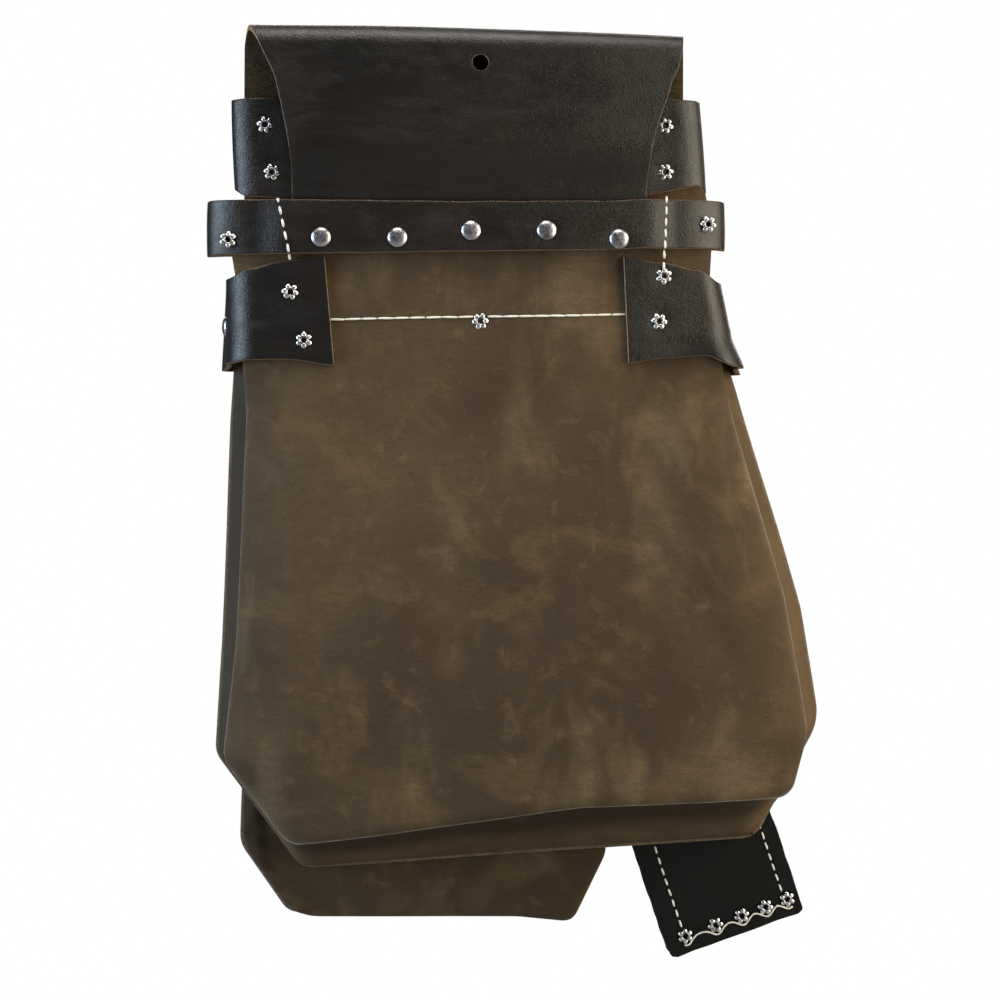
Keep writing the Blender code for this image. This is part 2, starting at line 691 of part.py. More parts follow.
def make_rivets(panel, sheet, strap, band, wraps, bag, hanger, sheath, pivot):
    rear = Vector((0, -1, 0))
    front = Vector((0, 1, 0))
    outward = (FRONT.to_3x3() @ front).normalized()
    board_face = BOARD_Y + DARK
    stack = GAP + DARK + board_face
    for index, (x, z) in enumerate(STRAP_RIVETS, 1):
        seat = (x, -2 * (GAP + DARK), z)
        rivet(f"strap_rivet_{index}", seat, rear, stack + GAP + DARK, [strap, sheet, panel])
    for side, (x, z) in STRAP_END_RIVETS.items():
        rivet(f"strap_end_rivet_{side}", (x, board_face + GAP + DARK, z), front,
              stack + GAP + DARK, [strap])
    band_face = board_face + GAP + DARK
    for side, places in (("left", BAND_RIVETS_LEFT), ("right", BAND_RIVETS_RIGHT)):
        for row, (x, z) in zip(("upper", "lower"), places):
            rivet(f"band_rivet_{side}_{row}", (x, band_face, z), front, band_face + GAP + DARK,
                  [band, sheet, panel])
    for index, x in enumerate(BAND_DIVIDERS, 1):
        height = (BAND_TOP + BAND_BOTTOM) / 2
        rivet(f"loop_rivet_{index}", (x, band_face, height), front, band_face, [band, sheet, panel])
    gusset, front_panel = bag
    for side, places in (("left", LEFT_WRAP_RIVETS), ("right", RIGHT_WRAP_RIVETS)):
        wrap = wraps[side]
        for row, (x, z) in zip(("upper", "lower"), places):
            through_board = z > BOARD_BOTTOM + HEAD
            inside = board_face if through_board else SUEDE
            pieces = [wrap, panel, sheet] if through_board else [wrap, panel]
            rivet(f"wrap_back_rivet_{side}_{row}", (x, inside, z), front, inside + GAP + DARK, pieces)
            seat = to_world(FRONT, x, GAP + DARK, z - MOUTH_Z)
            rivet(f"wrap_front_rivet_{side}_{row}", seat, outward, SUEDE + GAP + DARK, [wrap, front_panel])
    for side, sign, wrap in (("left", -1, LEFT_WRAP), ("right", 1, RIGHT_WRAP)):
        at, normal = side_wall(sign, wrap)
        rivet(f"wrap_side_rivet_{side}", at + normal * (DARK + SIDE_LIFT), normal, SIDE_GRIP, [wraps[side], gusset])
    rivet("hem_rivet", (HEM_RIVET[0], board_face, HEM_RIVET[1]), front, board_face, [panel, sheet])
    height = (HANGER_TOP + HANGER_BOTTOM) / 2
    for index, x in enumerate(HANGER_RIVETS, 1):
        seat = to_world(FRONT, x, HANGER_SEAT + DARK, height)
        rivet(f"hanger_rivet_{index}", seat, outward, HANGER_SEAT + DARK + SUEDE, [hanger, front_panel])
    back, welt, face = sheath
    seat = to_world(SHEATH, 0, SHEATH_BACK_Y + DARK, 0)
    rivet("sheath_pivot_rivet", seat, outward, SHEATH_BACK_Y + DARK + SUEDE, [back, front_panel])
    thickness = 2 * GAP + 2 * DARK + WELT
    for index, x in enumerate(SHEATH_RIVETS, 1):
        seat = to_world(SHEATH, x, SHEATH_BACK_Y + thickness, SHEATH_RIVET_Z)
        rivet(f"sheath_rivet_{index}", seat, outward, thickness, [back, welt, face], parent=pivot)


def main():
    clear_scene()
    hinge = empty("pocket_hinge", HINGE)
    pivot = empty("sheath_pivot", SHEATH)
    bpy.context.view_layer.update()
    panel = make_back_panel()
    sheet = make_tunnel_sheet()
    strap = make_strap()
    band = make_band()
    wraps = {
        "left": make_wrap("corner_wrap_left", -1, LEFT_WRAP),
        "right": make_wrap("corner_wrap_right", 1, RIGHT_WRAP),
    }
    bag = make_main_bag()
    low, high = HANGER_BOTTOM, HANGER_TOP
    left, right = HANGER_SPAN
    hanger = plate("pocket_hanger", [(left, low), (right, low), (right, high), (left, high)],
                   HANGER_SEAT, DARK, "oiled_leather", frame=FRONT)
    make_pocket(hinge)
    sheath = make_sheath(pivot)
    make_threads(pivot)
    make_rivets(panel, sheet, strap, band, wraps, bag, hanger, sheath, pivot)


main()
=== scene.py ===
"""Looks for the leather tool pouch: every CAD solid is replaced by a finished piece in its own place.

The sizes repeat part.py's, in millimetres, in the same frame: the wearer's side faces -Y and +Z is up.
Soft panels are curved sheets over the CAD outlines, leather strips follow the CAD paths with finer
bends, and each rivet and row of stitches sits at its CAD node.
"""

import bisect
import math
import random

import bmesh
import bpy
import numpy as np
from mathutils import Matrix, Vector, noise


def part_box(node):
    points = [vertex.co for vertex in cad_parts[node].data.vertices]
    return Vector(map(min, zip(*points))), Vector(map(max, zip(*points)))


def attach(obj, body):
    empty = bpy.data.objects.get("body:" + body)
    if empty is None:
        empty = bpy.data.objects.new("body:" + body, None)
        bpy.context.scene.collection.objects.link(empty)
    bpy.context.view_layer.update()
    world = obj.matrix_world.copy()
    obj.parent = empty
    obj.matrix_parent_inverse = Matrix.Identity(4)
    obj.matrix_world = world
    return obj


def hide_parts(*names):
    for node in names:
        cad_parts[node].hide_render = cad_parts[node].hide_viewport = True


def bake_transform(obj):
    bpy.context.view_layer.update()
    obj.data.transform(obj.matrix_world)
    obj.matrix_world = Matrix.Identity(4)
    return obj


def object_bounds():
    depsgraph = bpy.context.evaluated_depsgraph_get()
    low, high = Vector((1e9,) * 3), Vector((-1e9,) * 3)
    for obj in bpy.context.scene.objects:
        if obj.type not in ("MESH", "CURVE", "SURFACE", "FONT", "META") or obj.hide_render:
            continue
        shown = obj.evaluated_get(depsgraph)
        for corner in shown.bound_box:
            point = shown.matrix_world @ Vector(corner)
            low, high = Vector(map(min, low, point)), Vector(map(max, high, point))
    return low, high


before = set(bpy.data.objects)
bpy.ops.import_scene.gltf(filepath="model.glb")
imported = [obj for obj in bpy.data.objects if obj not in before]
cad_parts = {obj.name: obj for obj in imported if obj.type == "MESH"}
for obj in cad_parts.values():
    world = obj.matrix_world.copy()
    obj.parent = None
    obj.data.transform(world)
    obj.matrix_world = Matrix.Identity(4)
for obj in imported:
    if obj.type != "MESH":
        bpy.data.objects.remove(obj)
cad_low, cad_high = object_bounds()

MM = 0.001

# Thickness of suede and of dark leather, and the clearance between layers
SUEDE = 2.0
DARK = 2.5
GAP = 0.4

# Tunnel sheet
BOARD_Y = SUEDE + GAP
BOARD_BOTTOM = -97.0
BOARD_LEFT = -100.2
BOARD_RIGHT = 99.2
FLAP_END = -58.6
FLAP_BULGE = 11.0
FOLD_CENTRE_Z = 28.3
BULGE_BOTTOM = -14.0
OVER_BAND_Z = -34.8
CLAMP_TOP = -39.2
HANG_HOLE = (4.0, 21.0)
HANG_HOLE_RADIUS = 3.7
FLAP_LEFT = (
    (38.0, -98.6), (34.0, -96.8), (26.0, -92.8), (14.7, -87.2),
    (2.0, -84.2), (-11.0, -81.6), (-24.0, -79.5), (-70.0, -78.2),
)
FLAP_RIGHT = (
    (38.0, 97.2), (30.0, 96.2), (20.0, 93.8), (15.7, 91.3), (9.0, 89.6), (2.7, 87.2),
    (-4.0, 84.8), (-15.0, 81.7), (-25.0, 80.4), (-70.0, 80.0),
)
FOLD_LEFT = -98.0
FOLD_SLOPE = 0.0075
FOLD_LIFT = 0.9

# The near side of the strips' ends on the board's far side
STRIP_FRONT = BOARD_Y + DARK + GAP

# Clamp strap
STRAP_TOPS = ((119.5, -36.2), (80.0, -37.2), (60.0, -38.6), (0.0, -39.7), (-116.0, -39.0))
STRAP_BOTTOMS = ((119.5, -58.2), (80.0, -59.4), (60.0, -60.3), (0.0, -62.0), (-116.0, -63.8))
STRAP_REACH = {-1: 116.5, 1: 119.5}
STRAP_END_X = 79.0
STRAP_STEP = (80.0, 96.0)
STRAP_FOLD = (95.0, 8.5)

# Tool band
BAND_TOPS = ((106.0, 8.8), (80.0, 8.2), (0.0, 6.0), (-106.0, 6.0))
BAND_BOTTOM = -34.0
BAND_HALF_LENGTH = 106.0
BAND_END_X = 74.0
BAND_FOLD = (93.0, 5.0)
TAB_FEET = ((106.0, -28.4), (80.0, -35.4), (0.0, -37.0), (-80.0, -38.8), (-106.0, -37.2))
BAND_POSTS = (-89.7, -46.0, 0.0, 46.0, 89.7)
LOOP_FLAT = 8.0
LOOP_BULGE = 13.0

# Main bag. An outline is made of (x, z, corner radius), from the top left round the foot to the
# top right, and its feet are the two corners where its bottom line starts and ends.
MOUTH_Z = -66.0
MOUTH_DEPTH = 42.0
FRONT_TILT = math.radians(4.0)
CREASE_Z = -120.0
CREASE_TILT = math.radians(1.2)
BACK_EDGE = (
    (-100.2, 3.0, 0), (-100.2, -41.5, 3), (-106.0, -46.5, 4), (-107.0, -56.0, 20),
    (-103.6, -76.0, 20), (-99.2, -135.0, 60), (-104.2, -240.0, 60), (-110.3, -288.5, 12),
    (-80.6, -328.0, 10), (50.0, -312.0, 60), (148.5, -309.0, 9), (156.5, -280.0, 25),
    (146.0, -218.0, 60), (118.5, -118.0, 60), (110.6, -76.0, 20), (112.0, -54.0, 20),
    (109.0, -32.5, 4), (100.2, -27.0, 4), (100.2, 3.0, 0),
)
BACK_FEET = ((-80.6, -328.0), (148.5, -309.0))
GUSSET_BACK_EDGE = ((-102.9, -66.0, 0), *BACK_EDGE[5:-5], (109.0, -66.0, 0))
FRONT_EDGE = (
    (-102.0, 0.0, 0), (-106.5, -70.0, 60), (-110.4, -172.0, 60), (-113.8, -225.0, 12),
    (-73.5, -280.5, 12), (50.0, -273.5, 60), (143.0, -269.0, 12), (173.0, -213.0, 25),
    (163.0, -158.0, 60), (132.0, -55.0, 60), (113.0, 0.0, 0),
)
FRONT_FEET = (FRONT_EDGE[4][:2], FRONT_EDGE[6][:2])

# Corner wraps
WRAP_STAND_OFF = 3.4
WRAP_REAR_CORNER = 10.0
WRAP_CORNER = 4.0
LEFT_WRAP = {
    "inner": (-64.8, -60.6),
    "flare": 1.2,
    "top": ((0.0, -64.2), (0.5, -67.0), (0.8, -70.0), (1.0, -74.0), (1.3, -75.5)),
    "bottom": ((0.0, -113.0), (0.5, -110.6), (0.85, -110.8), (1.0, -112.0), (1.3, -113.5)),
}
RIGHT_WRAP = {
    "inner": (70.4, 72.4),
    "flare": 3.0,
    "top": ((0.0, -63.2), (0.4, -65.6), (0.8, -68.8), (1.0, -73.5), (1.3, -75.5)),
    "bottom": ((0.0, -111.2), (0.4, -108.8), (0.75, -107.6), (1.0, -112.4), (1.3, -114.0)),
}

# Front pocket and its hanger
HANGER_TOP = -132.0
HANGER_BOTTOM = -148.0
HANGER_SPAN = (-97.0, 36.0)
HANGER_SEAT = 2.8
HINGE_Z = -148.3
HINGE_OUT = 1.5
POCKET_MOUTH = -14.0
POCKET_DEPTH = 24.0
POCKET_TILT = math.radians(4.5)
POCKET_BACK_START = 0.5 - HINGE_OUT
POCKET_BACK_EDGE = (
    (-95.0, 14.5, 0), (-96.0, -14.0, 40), (-100.5, -95.0, 60), (-101.0, -122.0, 28),
    (-78.0, -157.0, 24), (30.0, -159.0, 60), (56.0, -162.0, 8), (73.0, -127.0, 15),
    (62.0, -85.0, 60), (40.0, -14.0, 20), (34.0, 14.5, 0),
)
POCKET_FRONT_EDGE = (
    (-96.0, 0.0, 0), (-101.5, -85.0, 60), (-102.5, -113.0, 15), (-79.0, -148.0, 10),
    (31.0, -151.0, 60), (58.0, -154.0, 8), (75.0, -118.0, 15), (63.0, -75.0, 60), (41.0, 0.0, 0),
)
POCKET_BACK_FEET = (POCKET_BACK_EDGE[4][:2], POCKET_BACK_EDGE[6][:2])
POCKET_FRONT_FEET = (POCKET_FRONT_EDGE[3][:2], POCKET_FRONT_EDGE[5][:2])

# Sheath
PIVOT = (71.9, -130.7)
SHEATH_LEAN = math.radians(19.0)
SHEATH_HALF_WIDTH = 34.0
SHEATH_BOTTOM = -198.0
SHEATH_SHOULDER = -42.0
SHEATH_NECK = 18.0
SHEATH_CORNER = 3.0
SHEATH_MOUTH = -52.0
TONGUE_HALF_WIDTH = 16.0
TONGUE_TOP = 15.0
TONGUE_ROUND = 8.0
WELT = 6.5
WELT_WIDTH = 12.0
WELT_FOOT = 16.0
WELT_CORNER = 4.0
SHEATH_BACK_Y = 1.8
SHEATH_BULGE = 2.2
SHEATH_RIVETS = (-24.5, -9.0, 4.5, 16.8, 28.0)
SHEATH_RIVET_Z = SHEATH_BOTTOM + 8.0
SHEATH_STITCH_X = (-24.4, 27.0)

# Rivets
HEAD = 4.5
HEAD_HEIGHT = 2.0
PETAL_HEIGHT = 1.1
PETAL_CENTRE = 2.45
PETAL_LENGTH = 1.30
PETAL_WIDTH = 1.16
SHANK_RADIUS = 1.7
BORE_RADIUS = 1.2
# The bore's widened mouth: its radius, and how far it stands past the grip
BORE_MOUTH = (1.45, 0.95)

# Stitches: pitch, length and thickness
HEM_STITCH = (7.4, 7.0, 0.5)
STRAP_STITCH = (5.3, 3.8, 0.58)
SHEATH_STITCH = (5.4, 3.6, 0.5)

# Stage and camera, in metres, with the lens in millimetres
CAMERA_PLACE = (-0.10088, -1.09397, -0.1733)
CAMERA_TURN = math.radians(-6.0)
CAMERA_LENS = 88.0
AIM = (0.0, 0.0, -0.18)
FLOOR_RADIUS = 5.0
FLOOR_DROP = 0.12

FRONT = Matrix.Translation((0, MOUTH_DEPTH, MOUTH_Z)) @ Matrix.Rotation(FRONT_TILT, 4, "X")
HINGE = FRONT @ Matrix.Translation((0, HINGE_OUT, HINGE_Z))
POCKET_FRONT = HINGE @ (
    Matrix.Translation((0, POCKET_DEPTH, POCKET_MOUTH)) @ Matrix.Rotation(POCKET_TILT, 4, "X")
)
SHEATH = (
    FRONT
    @ Matrix.Translation((PIVOT[0], 0, PIVOT[1]))
    @ Matrix.Rotation(-SHEATH_LEAN, 4, "Y")
)
REAR = Vector((0, -1, 0))
OUTWARD = (FRONT.to_3x3() @ Vector((0, 1, 0))).normalized()


# ---------------------------------------------------------------- materials


def linear(red, green, blue):
    """A colour given as 8-bit sRGB, as the linear RGBA that shaders take."""
    made = []
    for channel in (red, green, blue):
        share = channel / 255
        made.append(share / 12.92 if share <= 0.04045 else ((share + 0.055) / 1.055) ** 2.4)
    return (*made, 1.0)


class Finish:
    """A node material in the making: one Principled shader fed by procedural patterns."""

    def __init__(self, name):
        self.material = bpy.data.materials.new(name)
        self.material.use_nodes = True
        self.tree = self.material.node_tree
        self.shader = self.tree.nodes["Principled BSDF"]
        self.place = self.tree.nodes.new("ShaderNodeTexCoord").outputs["Object"]

    def feed(self, node, inputs):
        """Link each input that is given a socket, and set the others to their plain values."""
        for name, value in inputs.items():
            if isinstance(value, bpy.types.NodeSocket):
                self.tree.links.new(value, node.inputs[name])
            else:
                node.inputs[name].default_value = value

    def node(self, kind, output, inputs, **settings):
        made = self.tree.nodes.new("ShaderNode" + kind)
        for name, value in settings.items():
            setattr(made, name, value)
        self.feed(made, inputs)
        return made.outputs[output]

    def stretched(self, scale, turn=(0, 0, 0)):
        return self.node("Mapping", "Vector", {"Vector": self.place, "Scale": scale, "Rotation": turn})

    def along(self, axis):
        """The place on the piece along one axis, in metres."""
        return self.node("SeparateXYZ", axis, {0: self.place})

    def cloud(self, scale, detail=4.0, roughness=0.55, distortion=0.0, place=None):
        inputs = {"Vector": place or self.place, "Scale": scale, "Detail": detail}
        inputs.update({"Roughness": roughness, "Distortion": distortion})
        return self.node("TexNoise", "Fac", inputs)

    def ranged(self, value, low, high, out_low=0.0, out_high=1.0):
        inputs = {"Value": value, "From Min": low, "From Max": high}
        inputs.update({"To Min": out_low, "To Max": out_high})
        return self.node("MapRange", "Result", inputs, interpolation_type="SMOOTHSTEP")

    def mixed(self, share, first, second):
        """A colour between two colours or sockets."""
        return self.node("Mix", 2, {0: share, 6: first, 7: second}, data_type="RGBA")

    def tinted(self, colour, tone, pattern, low, high, out_low=0.0, out_high=1.0):
        """The colour turned towards a tone where a pattern's value goes from low to high."""
        return self.mixed(self.ranged(pattern, low, high, out_low, out_high), colour, tone)

    def combined(self, first, second, operation="ADD"):
        return self.node("Math", 0, {0: first, 1: second}, operation=operation)

    def raised(self, height, depth, strength, under=None):
        """Bump of a real depth in metres, over another bump where one is given."""
        inputs = {"Height": height, "Distance": depth, "Strength": strength}
        if under is not None:
            inputs["Normal"] = under
        return self.node("Bump", "Normal", inputs)

    def wear(self, colour, roughness, normal=None, **settings):
        """The finished material; an underscore in a setting's name stands for a space."""
        inputs = {name.replace("_", " "): value for name, value in settings.items()}
        inputs.update({"Base Color": colour, "Roughness": roughness})
        if normal is not None:
            inputs["Normal"] = normal
        self.feed(self.shader, inputs)
        return self.material


def suede_finish(name, dark, middle, ochre, light, sheen, left_shade=None, under=None):
    """Brushed suede: cloudy nap, lighter slanted strokes and a fine velvet grain.

    Painted shade can be laid on it: a colour given for its left side darkens it down that side, where
    it lies in shade, and one given for under darkens its foot, towards the back, where a panel hangs
    over it.
    """
    made = Finish(name)
    broad = made.cloud(9.0, 2.0, 0.5, 0.3)
    patches = made.cloud(24.0, 3.0, 0.6, 0.9)
    strokes = made.cloud(30.0, 4.0, 0.55, 0.4, made.stretched((1.0, 1.0, 0.42), (0.0, -0.75, 0.0)))
    mottle = made.cloud(85.0, 6.0, 0.68, 0.5)
    nap = made.cloud(1300.0, 3.0, 0.7)
    level = made.cloud(260.0, 5.0, 0.74, 0.3, made.stretched((0.5, 1.0, 1.3)))
    colour = made.tinted(dark, middle, broad, 0.38, 0.62)
    colour = made.tinted(colour, ochre, patches, 0.50, 0.66, 0.0, 0.55)
    colour = made.tinted(colour, dark, patches, 0.32, 0.44, 0.45, 0.0)
    colour = made.tinted(colour, light, strokes, 0.50, 0.74, 0.0, 0.42)
    colour = made.tinted(colour, light, mottle, 0.52, 0.78, 0.0, 0.34)
    colour = made.tinted(colour, dark, mottle, 0.24, 0.46, 0.30, 0.0)
    speck = made.ranged(made.combined(nap, level), 0.78, 1.22)
    colour = made.mixed(made.combined(speck, 0.5, "MULTIPLY"), colour, dark)
    # Painted shade: darker down the left side, from x = -82 mm outwards.
    if left_shade is not None:
        colour = made.tinted(colour, left_shade, made.along("X"), -0.102, -0.082, 0.8, 0.0)
    # Painted shade: darker at the foot, towards the back, where the back panel hangs over the gusset.
    if under is not None:
        deep = made.ranged(made.along("Y"), 0.024, 0.042, 0.75, 0.0)
        low = made.ranged(made.along("Z"), -0.312, -0.298, 1.0, 0.0)
        colour = made.mixed(made.combined(deep, low, "MULTIPLY"), colour, under)
    normal = made.raised(mottle, 0.0010, 0.35)
    normal = made.raised(level, 0.0007, 0.65, normal)
    normal = made.raised(nap, 0.0004, 0.7, normal)
    return made.wear(
        colour,
        made.ranged(mottle, 0.3, 0.7, 0.84, 0.98),
        normal,
        Sheen_Weight=sheen,
        Sheen_Roughness=0.3,
        Sheen_Tint=linear(226, 220, 212),
        Specular_IOR_Level=0.18,
    )


def smooth_leather(name, deep, warm, worn, gloss, shine):
    """Oiled smooth leather: slow colour drift, fine pebbling, faint creases and duller scuffs."""
    made = Finish(name)
    tone = made.cloud(13.0, 4.0, 0.55, 0.6)
    scuffs = made.cloud(60.0, 8.0, 0.72, 1.2, made.stretched((0.5, 1.0, 1.4), (0.0, -0.3, 0.0)))
    creases = made.cloud(210.0, 5.0, 0.6, 1.5)
    cells = {"Vector": made.place, "Scale": 1150.0}
    cells = made.node("TexVoronoi", "Distance", cells, feature="DISTANCE_TO_EDGE")
    pebbles = made.ranged(cells, 0.0, 0.35)
    colour = made.tinted(deep, warm, tone, 0.35, 0.7)
    colour = made.tinted(colour, worn, scuffs, 0.58, 0.78, 0.0, 0.45)
    normal = made.raised(tone, 0.003, 0.30)
    normal = made.raised(creases, 0.0006, 0.26, normal)
    normal = made.raised(pebbles, 0.00022, 0.30, normal)
    return made.wear(colour, made.ranged(scuffs, 0.35, 0.75, *gloss), normal, Specular_IOR_Level=shine)


def raw_leather(name, base, pale, fibre_scale=520.0):
    """The unfinished side or the cut edge of leather: short pale fibres over a matt base."""
    made = Finish(name)
    fibres = made.cloud(fibre_scale, 6.0, 0.7, 1.0, made.stretched((0.6, 0.6, 1.7)))
    blotches = made.cloud(55.0, 4.0, 0.6)
    colour = made.tinted(base, pale, fibres, 0.35, 0.7)
    colour = made.tinted(colour, base, blotches, 0.45, 0.75, 0.0, 0.5)
    rough = made.ranged(fibres, 0.3, 0.7, 0.98, 0.82)
    return made.wear(colour, rough, made.raised(fibres, 0.0006, 0.6), Specular_IOR_Level=0.2)


def nickel_finish(name, bright, tarnished):
    """Nickel plate with smears and a little tarnish."""
    made = Finish(name)
    smears = made.cloud(900.0, 5.0, 0.65, 0.8)
    tarnish = made.cloud(260.0, 3.0, 0.5)
    colour = made.tinted(bright, tarnished, tarnish, 0.45, 0.75)
    normal = made.raised(smears, 0.00018, 0.35)
    return made.wear(colour, made.ranged(smears, 0.3, 0.7, 0.22, 0.42), normal, Metallic=1.0)


def tube_finish():
    """The inside of a rivet's hollow end, coloured dark as painted shade for the shut-in hollow, with a
    random grime mottle over it.
    """
    made = Finish("rivet_bore_shade")
    grime = made.cloud(800.0, 4.0, 0.6)
    colour = made.tinted(linear(38, 34, 32), linear(74, 68, 64), grime, 0.3, 0.7)
    return made.wear(colour, made.ranged(grime, 0.3, 0.7, 0.5, 0.7), Metallic=0.8)


def thread_finish():
    """Waxed thread: a tight twist with a little grime in its grooves."""
    made = Finish("thread")
    twist = made.cloud(1500.0, 2.0, 0.5, 0.0, made.stretched((1.0, 1.0, 1.0), (0.0, 0.7, 0.0)))
    grime = made.cloud(130.0, 4.0, 0.6)
    colour = made.tinted(linear(232, 222, 204), linear(254, 251, 244), twist, 0.35, 0.65)
    colour = made.tinted(colour, linear(200, 184, 160), grime, 0.55, 0.8, 0.0, 0.35)
    return made.wear(colour, made.ranged(twist, 0.3, 0.7, 0.62, 0.8), made.raised(twist, 0.0002, 0.5))


BROWNS = (linear(71, 57, 42), linear(87, 71, 52), linear(105, 86, 59), linear(140, 119, 92))
# The gusset's copy of the suede tones, lighter than the panels' BROWNS: the extra lightness is painted
# light, making up for the light its downward-facing foot misses.
LIT_SIDE_BROWNS = (linear(86, 69, 50), linear(101, 82, 60), linear(108, 89, 62), linear(130, 110, 84))
SUEDE_FACE = suede_finish("suede", *BROWNS, 1.0)
# The pocket's last colour is painted shade down its left side.
SUEDE_POCKET = suede_finish("suede_pocket", *BROWNS, 0.6, linear(52, 42, 33))
# The gusset's last two colours are painted shade: one down its left side, one at its foot under the
# back panel.
SUEDE_SIDE = suede_finish("suede_side", *LIT_SIDE_BROWNS, 0.0, linear(52, 48, 44), linear(46, 36, 27))
SUEDE_EDGE = raw_leather("suede_edge", linear(96, 80, 62), linear(134, 117, 96))
BLACKS = (linear(11, 12, 12), linear(15, 15, 16), linear(25, 26, 27))
OILED_TONES = (linear(21, 17, 14), linear(34, 26, 20), linear(47, 39, 32))
OILED = smooth_leather("oiled_leather", *OILED_TONES, (0.33, 0.48), 0.5)
FLESH = raw_leather("flesh_side", linear(50, 40, 29), linear(80, 65, 46))
CUT_EDGE = raw_leather("cut_edge", linear(124, 92, 68), linear(178, 144, 112), 900.0)
BLACK = smooth_leather("black_leather", *BLACKS, (0.50, 0.66), 0.2)
BLACK_FLESH = raw_leather("black_flesh", linear(34, 32, 31), linear(60, 56, 53))
BLACK_EDGE = raw_leather("black_edge", linear(24, 23, 23), linear(46, 44, 43), 900.0)
# The nickel comes in two copies that differ only in how light falls on them: the brighter one on the
# petals is a painted highlight for their white glints, and the darker, cooler one on the domes is
# painted shade.
NICKEL = nickel_finish("nickel", linear(242, 240, 238), linear(196, 190, 186))
SHADED_DOME = nickel_finish("nickel_dome_shaded", linear(196, 192, 200), linear(132, 126, 128))
BORE = tube_finish()
THREAD = thread_finish()

SUEDE_SET = (SUEDE_FACE, SUEDE_FACE, SUEDE_EDGE)
POCKET_SET = (SUEDE_POCKET, SUEDE_POCKET, SUEDE_EDGE)
SIDE_SET = (SUEDE_SIDE, SUEDE_SIDE, SUEDE_EDGE)
OILED_SET = (OILED, FLESH, CUT_EDGE)
BLACK_SET = (BLACK, BLACK_FLESH, BLACK_EDGE)


# ---------------------------------------------------------------- shapes


def smooth(share):
    share = max(0.0, min(1.0, share))
    return share * share * (3 - 2 * share)


def bell(offset, reach):
    """1 in the middle, falling to 0 over about twice the reach."""
    return math.exp(-((offset / reach) ** 2))


def rough(x, y, z):
    """A slow random wave through space, from about -1 to 1."""
    return noise.noise(Vector((x, y, z)))


def part_way(start, end, share):
    return start + (end - start) * share


def between(table, height):
    """A value read from (height, value) pairs that go downwards."""
    for upper, lower in zip(table, table[1:]):
        if upper[0] >= height >= lower[0]:
            share = (upper[0] - height) / (upper[0] - lower[0])
            return part_way(upper[1], lower[1], share)
    return table[0][1] if height > table[0][0] else table[-1][1]


def rounded(corners, segments=8):
    """An open path of (a, b, radius) corners with each inner corner replaced by an arc."""
    path = [Vector(corners[0][:2])]
    for before, corner, after in zip(corners, corners[1:], corners[2:]):
        here = Vector(corner[:2])
        back = (Vector(before[:2]) - here).normalized()
        ahead = (Vector(after[:2]) - here).normalized()
        half = back.angle(ahead) / 2
        if corner[2] == 0 or half > math.pi / 2 - 0.005:
            path.append(here)
            continue
        reach = corner[2] / math.tan(half)
        centre = here + (back + ahead).normalized() * (corner[2] / math.sin(half))
        start = here + back * reach - centre
        sweep = (math.pi - 2 * half) / segments
        if start.x * back.y - start.y * back.x > 0:
            sweep = -sweep
        for step in range(segments + 1):
            path.append(centre + Matrix.Rotation(sweep * step, 2) @ start)
    path.append(Vector(corners[-1][:2]))
    return path


def offset_path(path, distance):
    """The open path moved sideways, to the left of its direction, with mitred corners."""
    moved = []
    for index, point in enumerate(path):
        before = path[max(index - 1, 0)]
        after = path[min(index + 1, len(path) - 1)]
        into = (point - before) if index > 0 else (after - point)
        out = (after - point) if index < len(path) - 1 else into
        normal_in = Vector((-into.y, into.x)).normalized()
        normal_out = Vector((-out.y, out.x)).normalized()
        mitre = (normal_in + normal_out).normalized()
        moved.append(point + mitre * (distance / mitre.dot(normal_in)))
    return moved


class Line:
    """A polyline that can be read at any share of its length."""

    def __init__(self, points):
        self.points = [Vector(point) for point in points]
        self.runs = [0.0]
        for before, after in zip(self.points, self.points[1:]):
            self.runs.append(self.runs[-1] + (after - before).length)
        self.length = self.runs[-1]

    def at(self, share):
        target = max(0.0, min(1.0, share)) * self.length
        high = min(max(1, bisect.bisect_right(self.runs, target)), len(self.runs) - 1)
        run = self.runs[high] - self.runs[high - 1]
        share = (target - self.runs[high - 1]) / run if run else 0.0
        return self.points[high - 1].lerp(self.points[high], share)

    def divided(self, count):
        return [self.at(step / count) for step in range(count + 1)]

    def spaced(self, spacing):
        return self.divided(max(2, round(self.length / spacing)))

    def aside(self, share, facing):
        """The point at a share, and the way across the line on a surface that faces facing."""
        ahead = self.at(share + 0.01) - self.at(share - 0.01)
        return self.at(share), ahead.normalized().cross(facing).normalized()


def crowded(count, amount=0.8):
    """Shares from 0 to 1 that crowd towards both ends."""
    made = []
    for step in range(count + 1):
        share = step / count
        made.append(share * (1 - amount) + smooth(share) * amount)
    return made


def bowed(point):
    """The stiff upper part bows back a little towards both sides, as it does on a hip."""
    return 0.0005 * point.x ** 2 * smooth((point.z + 200.0) / 80.0)


def drift(point):
    """A slow wander shared by every layer, so that nothing is ruled and layers keep clear."""
    place = point / 75.0
    wander = 0.5 * Vector((
        noise.noise(place + Vector((3.1, 0.0, 0.0))),
        0.9 * noise.noise(place + Vector((0.0, 9.7, 0.0))),
        0.7 * noise.noise(place + Vector((0.0, 0.0, 17.3))),
    ))
    wander.y += bowed(point)
    return wander


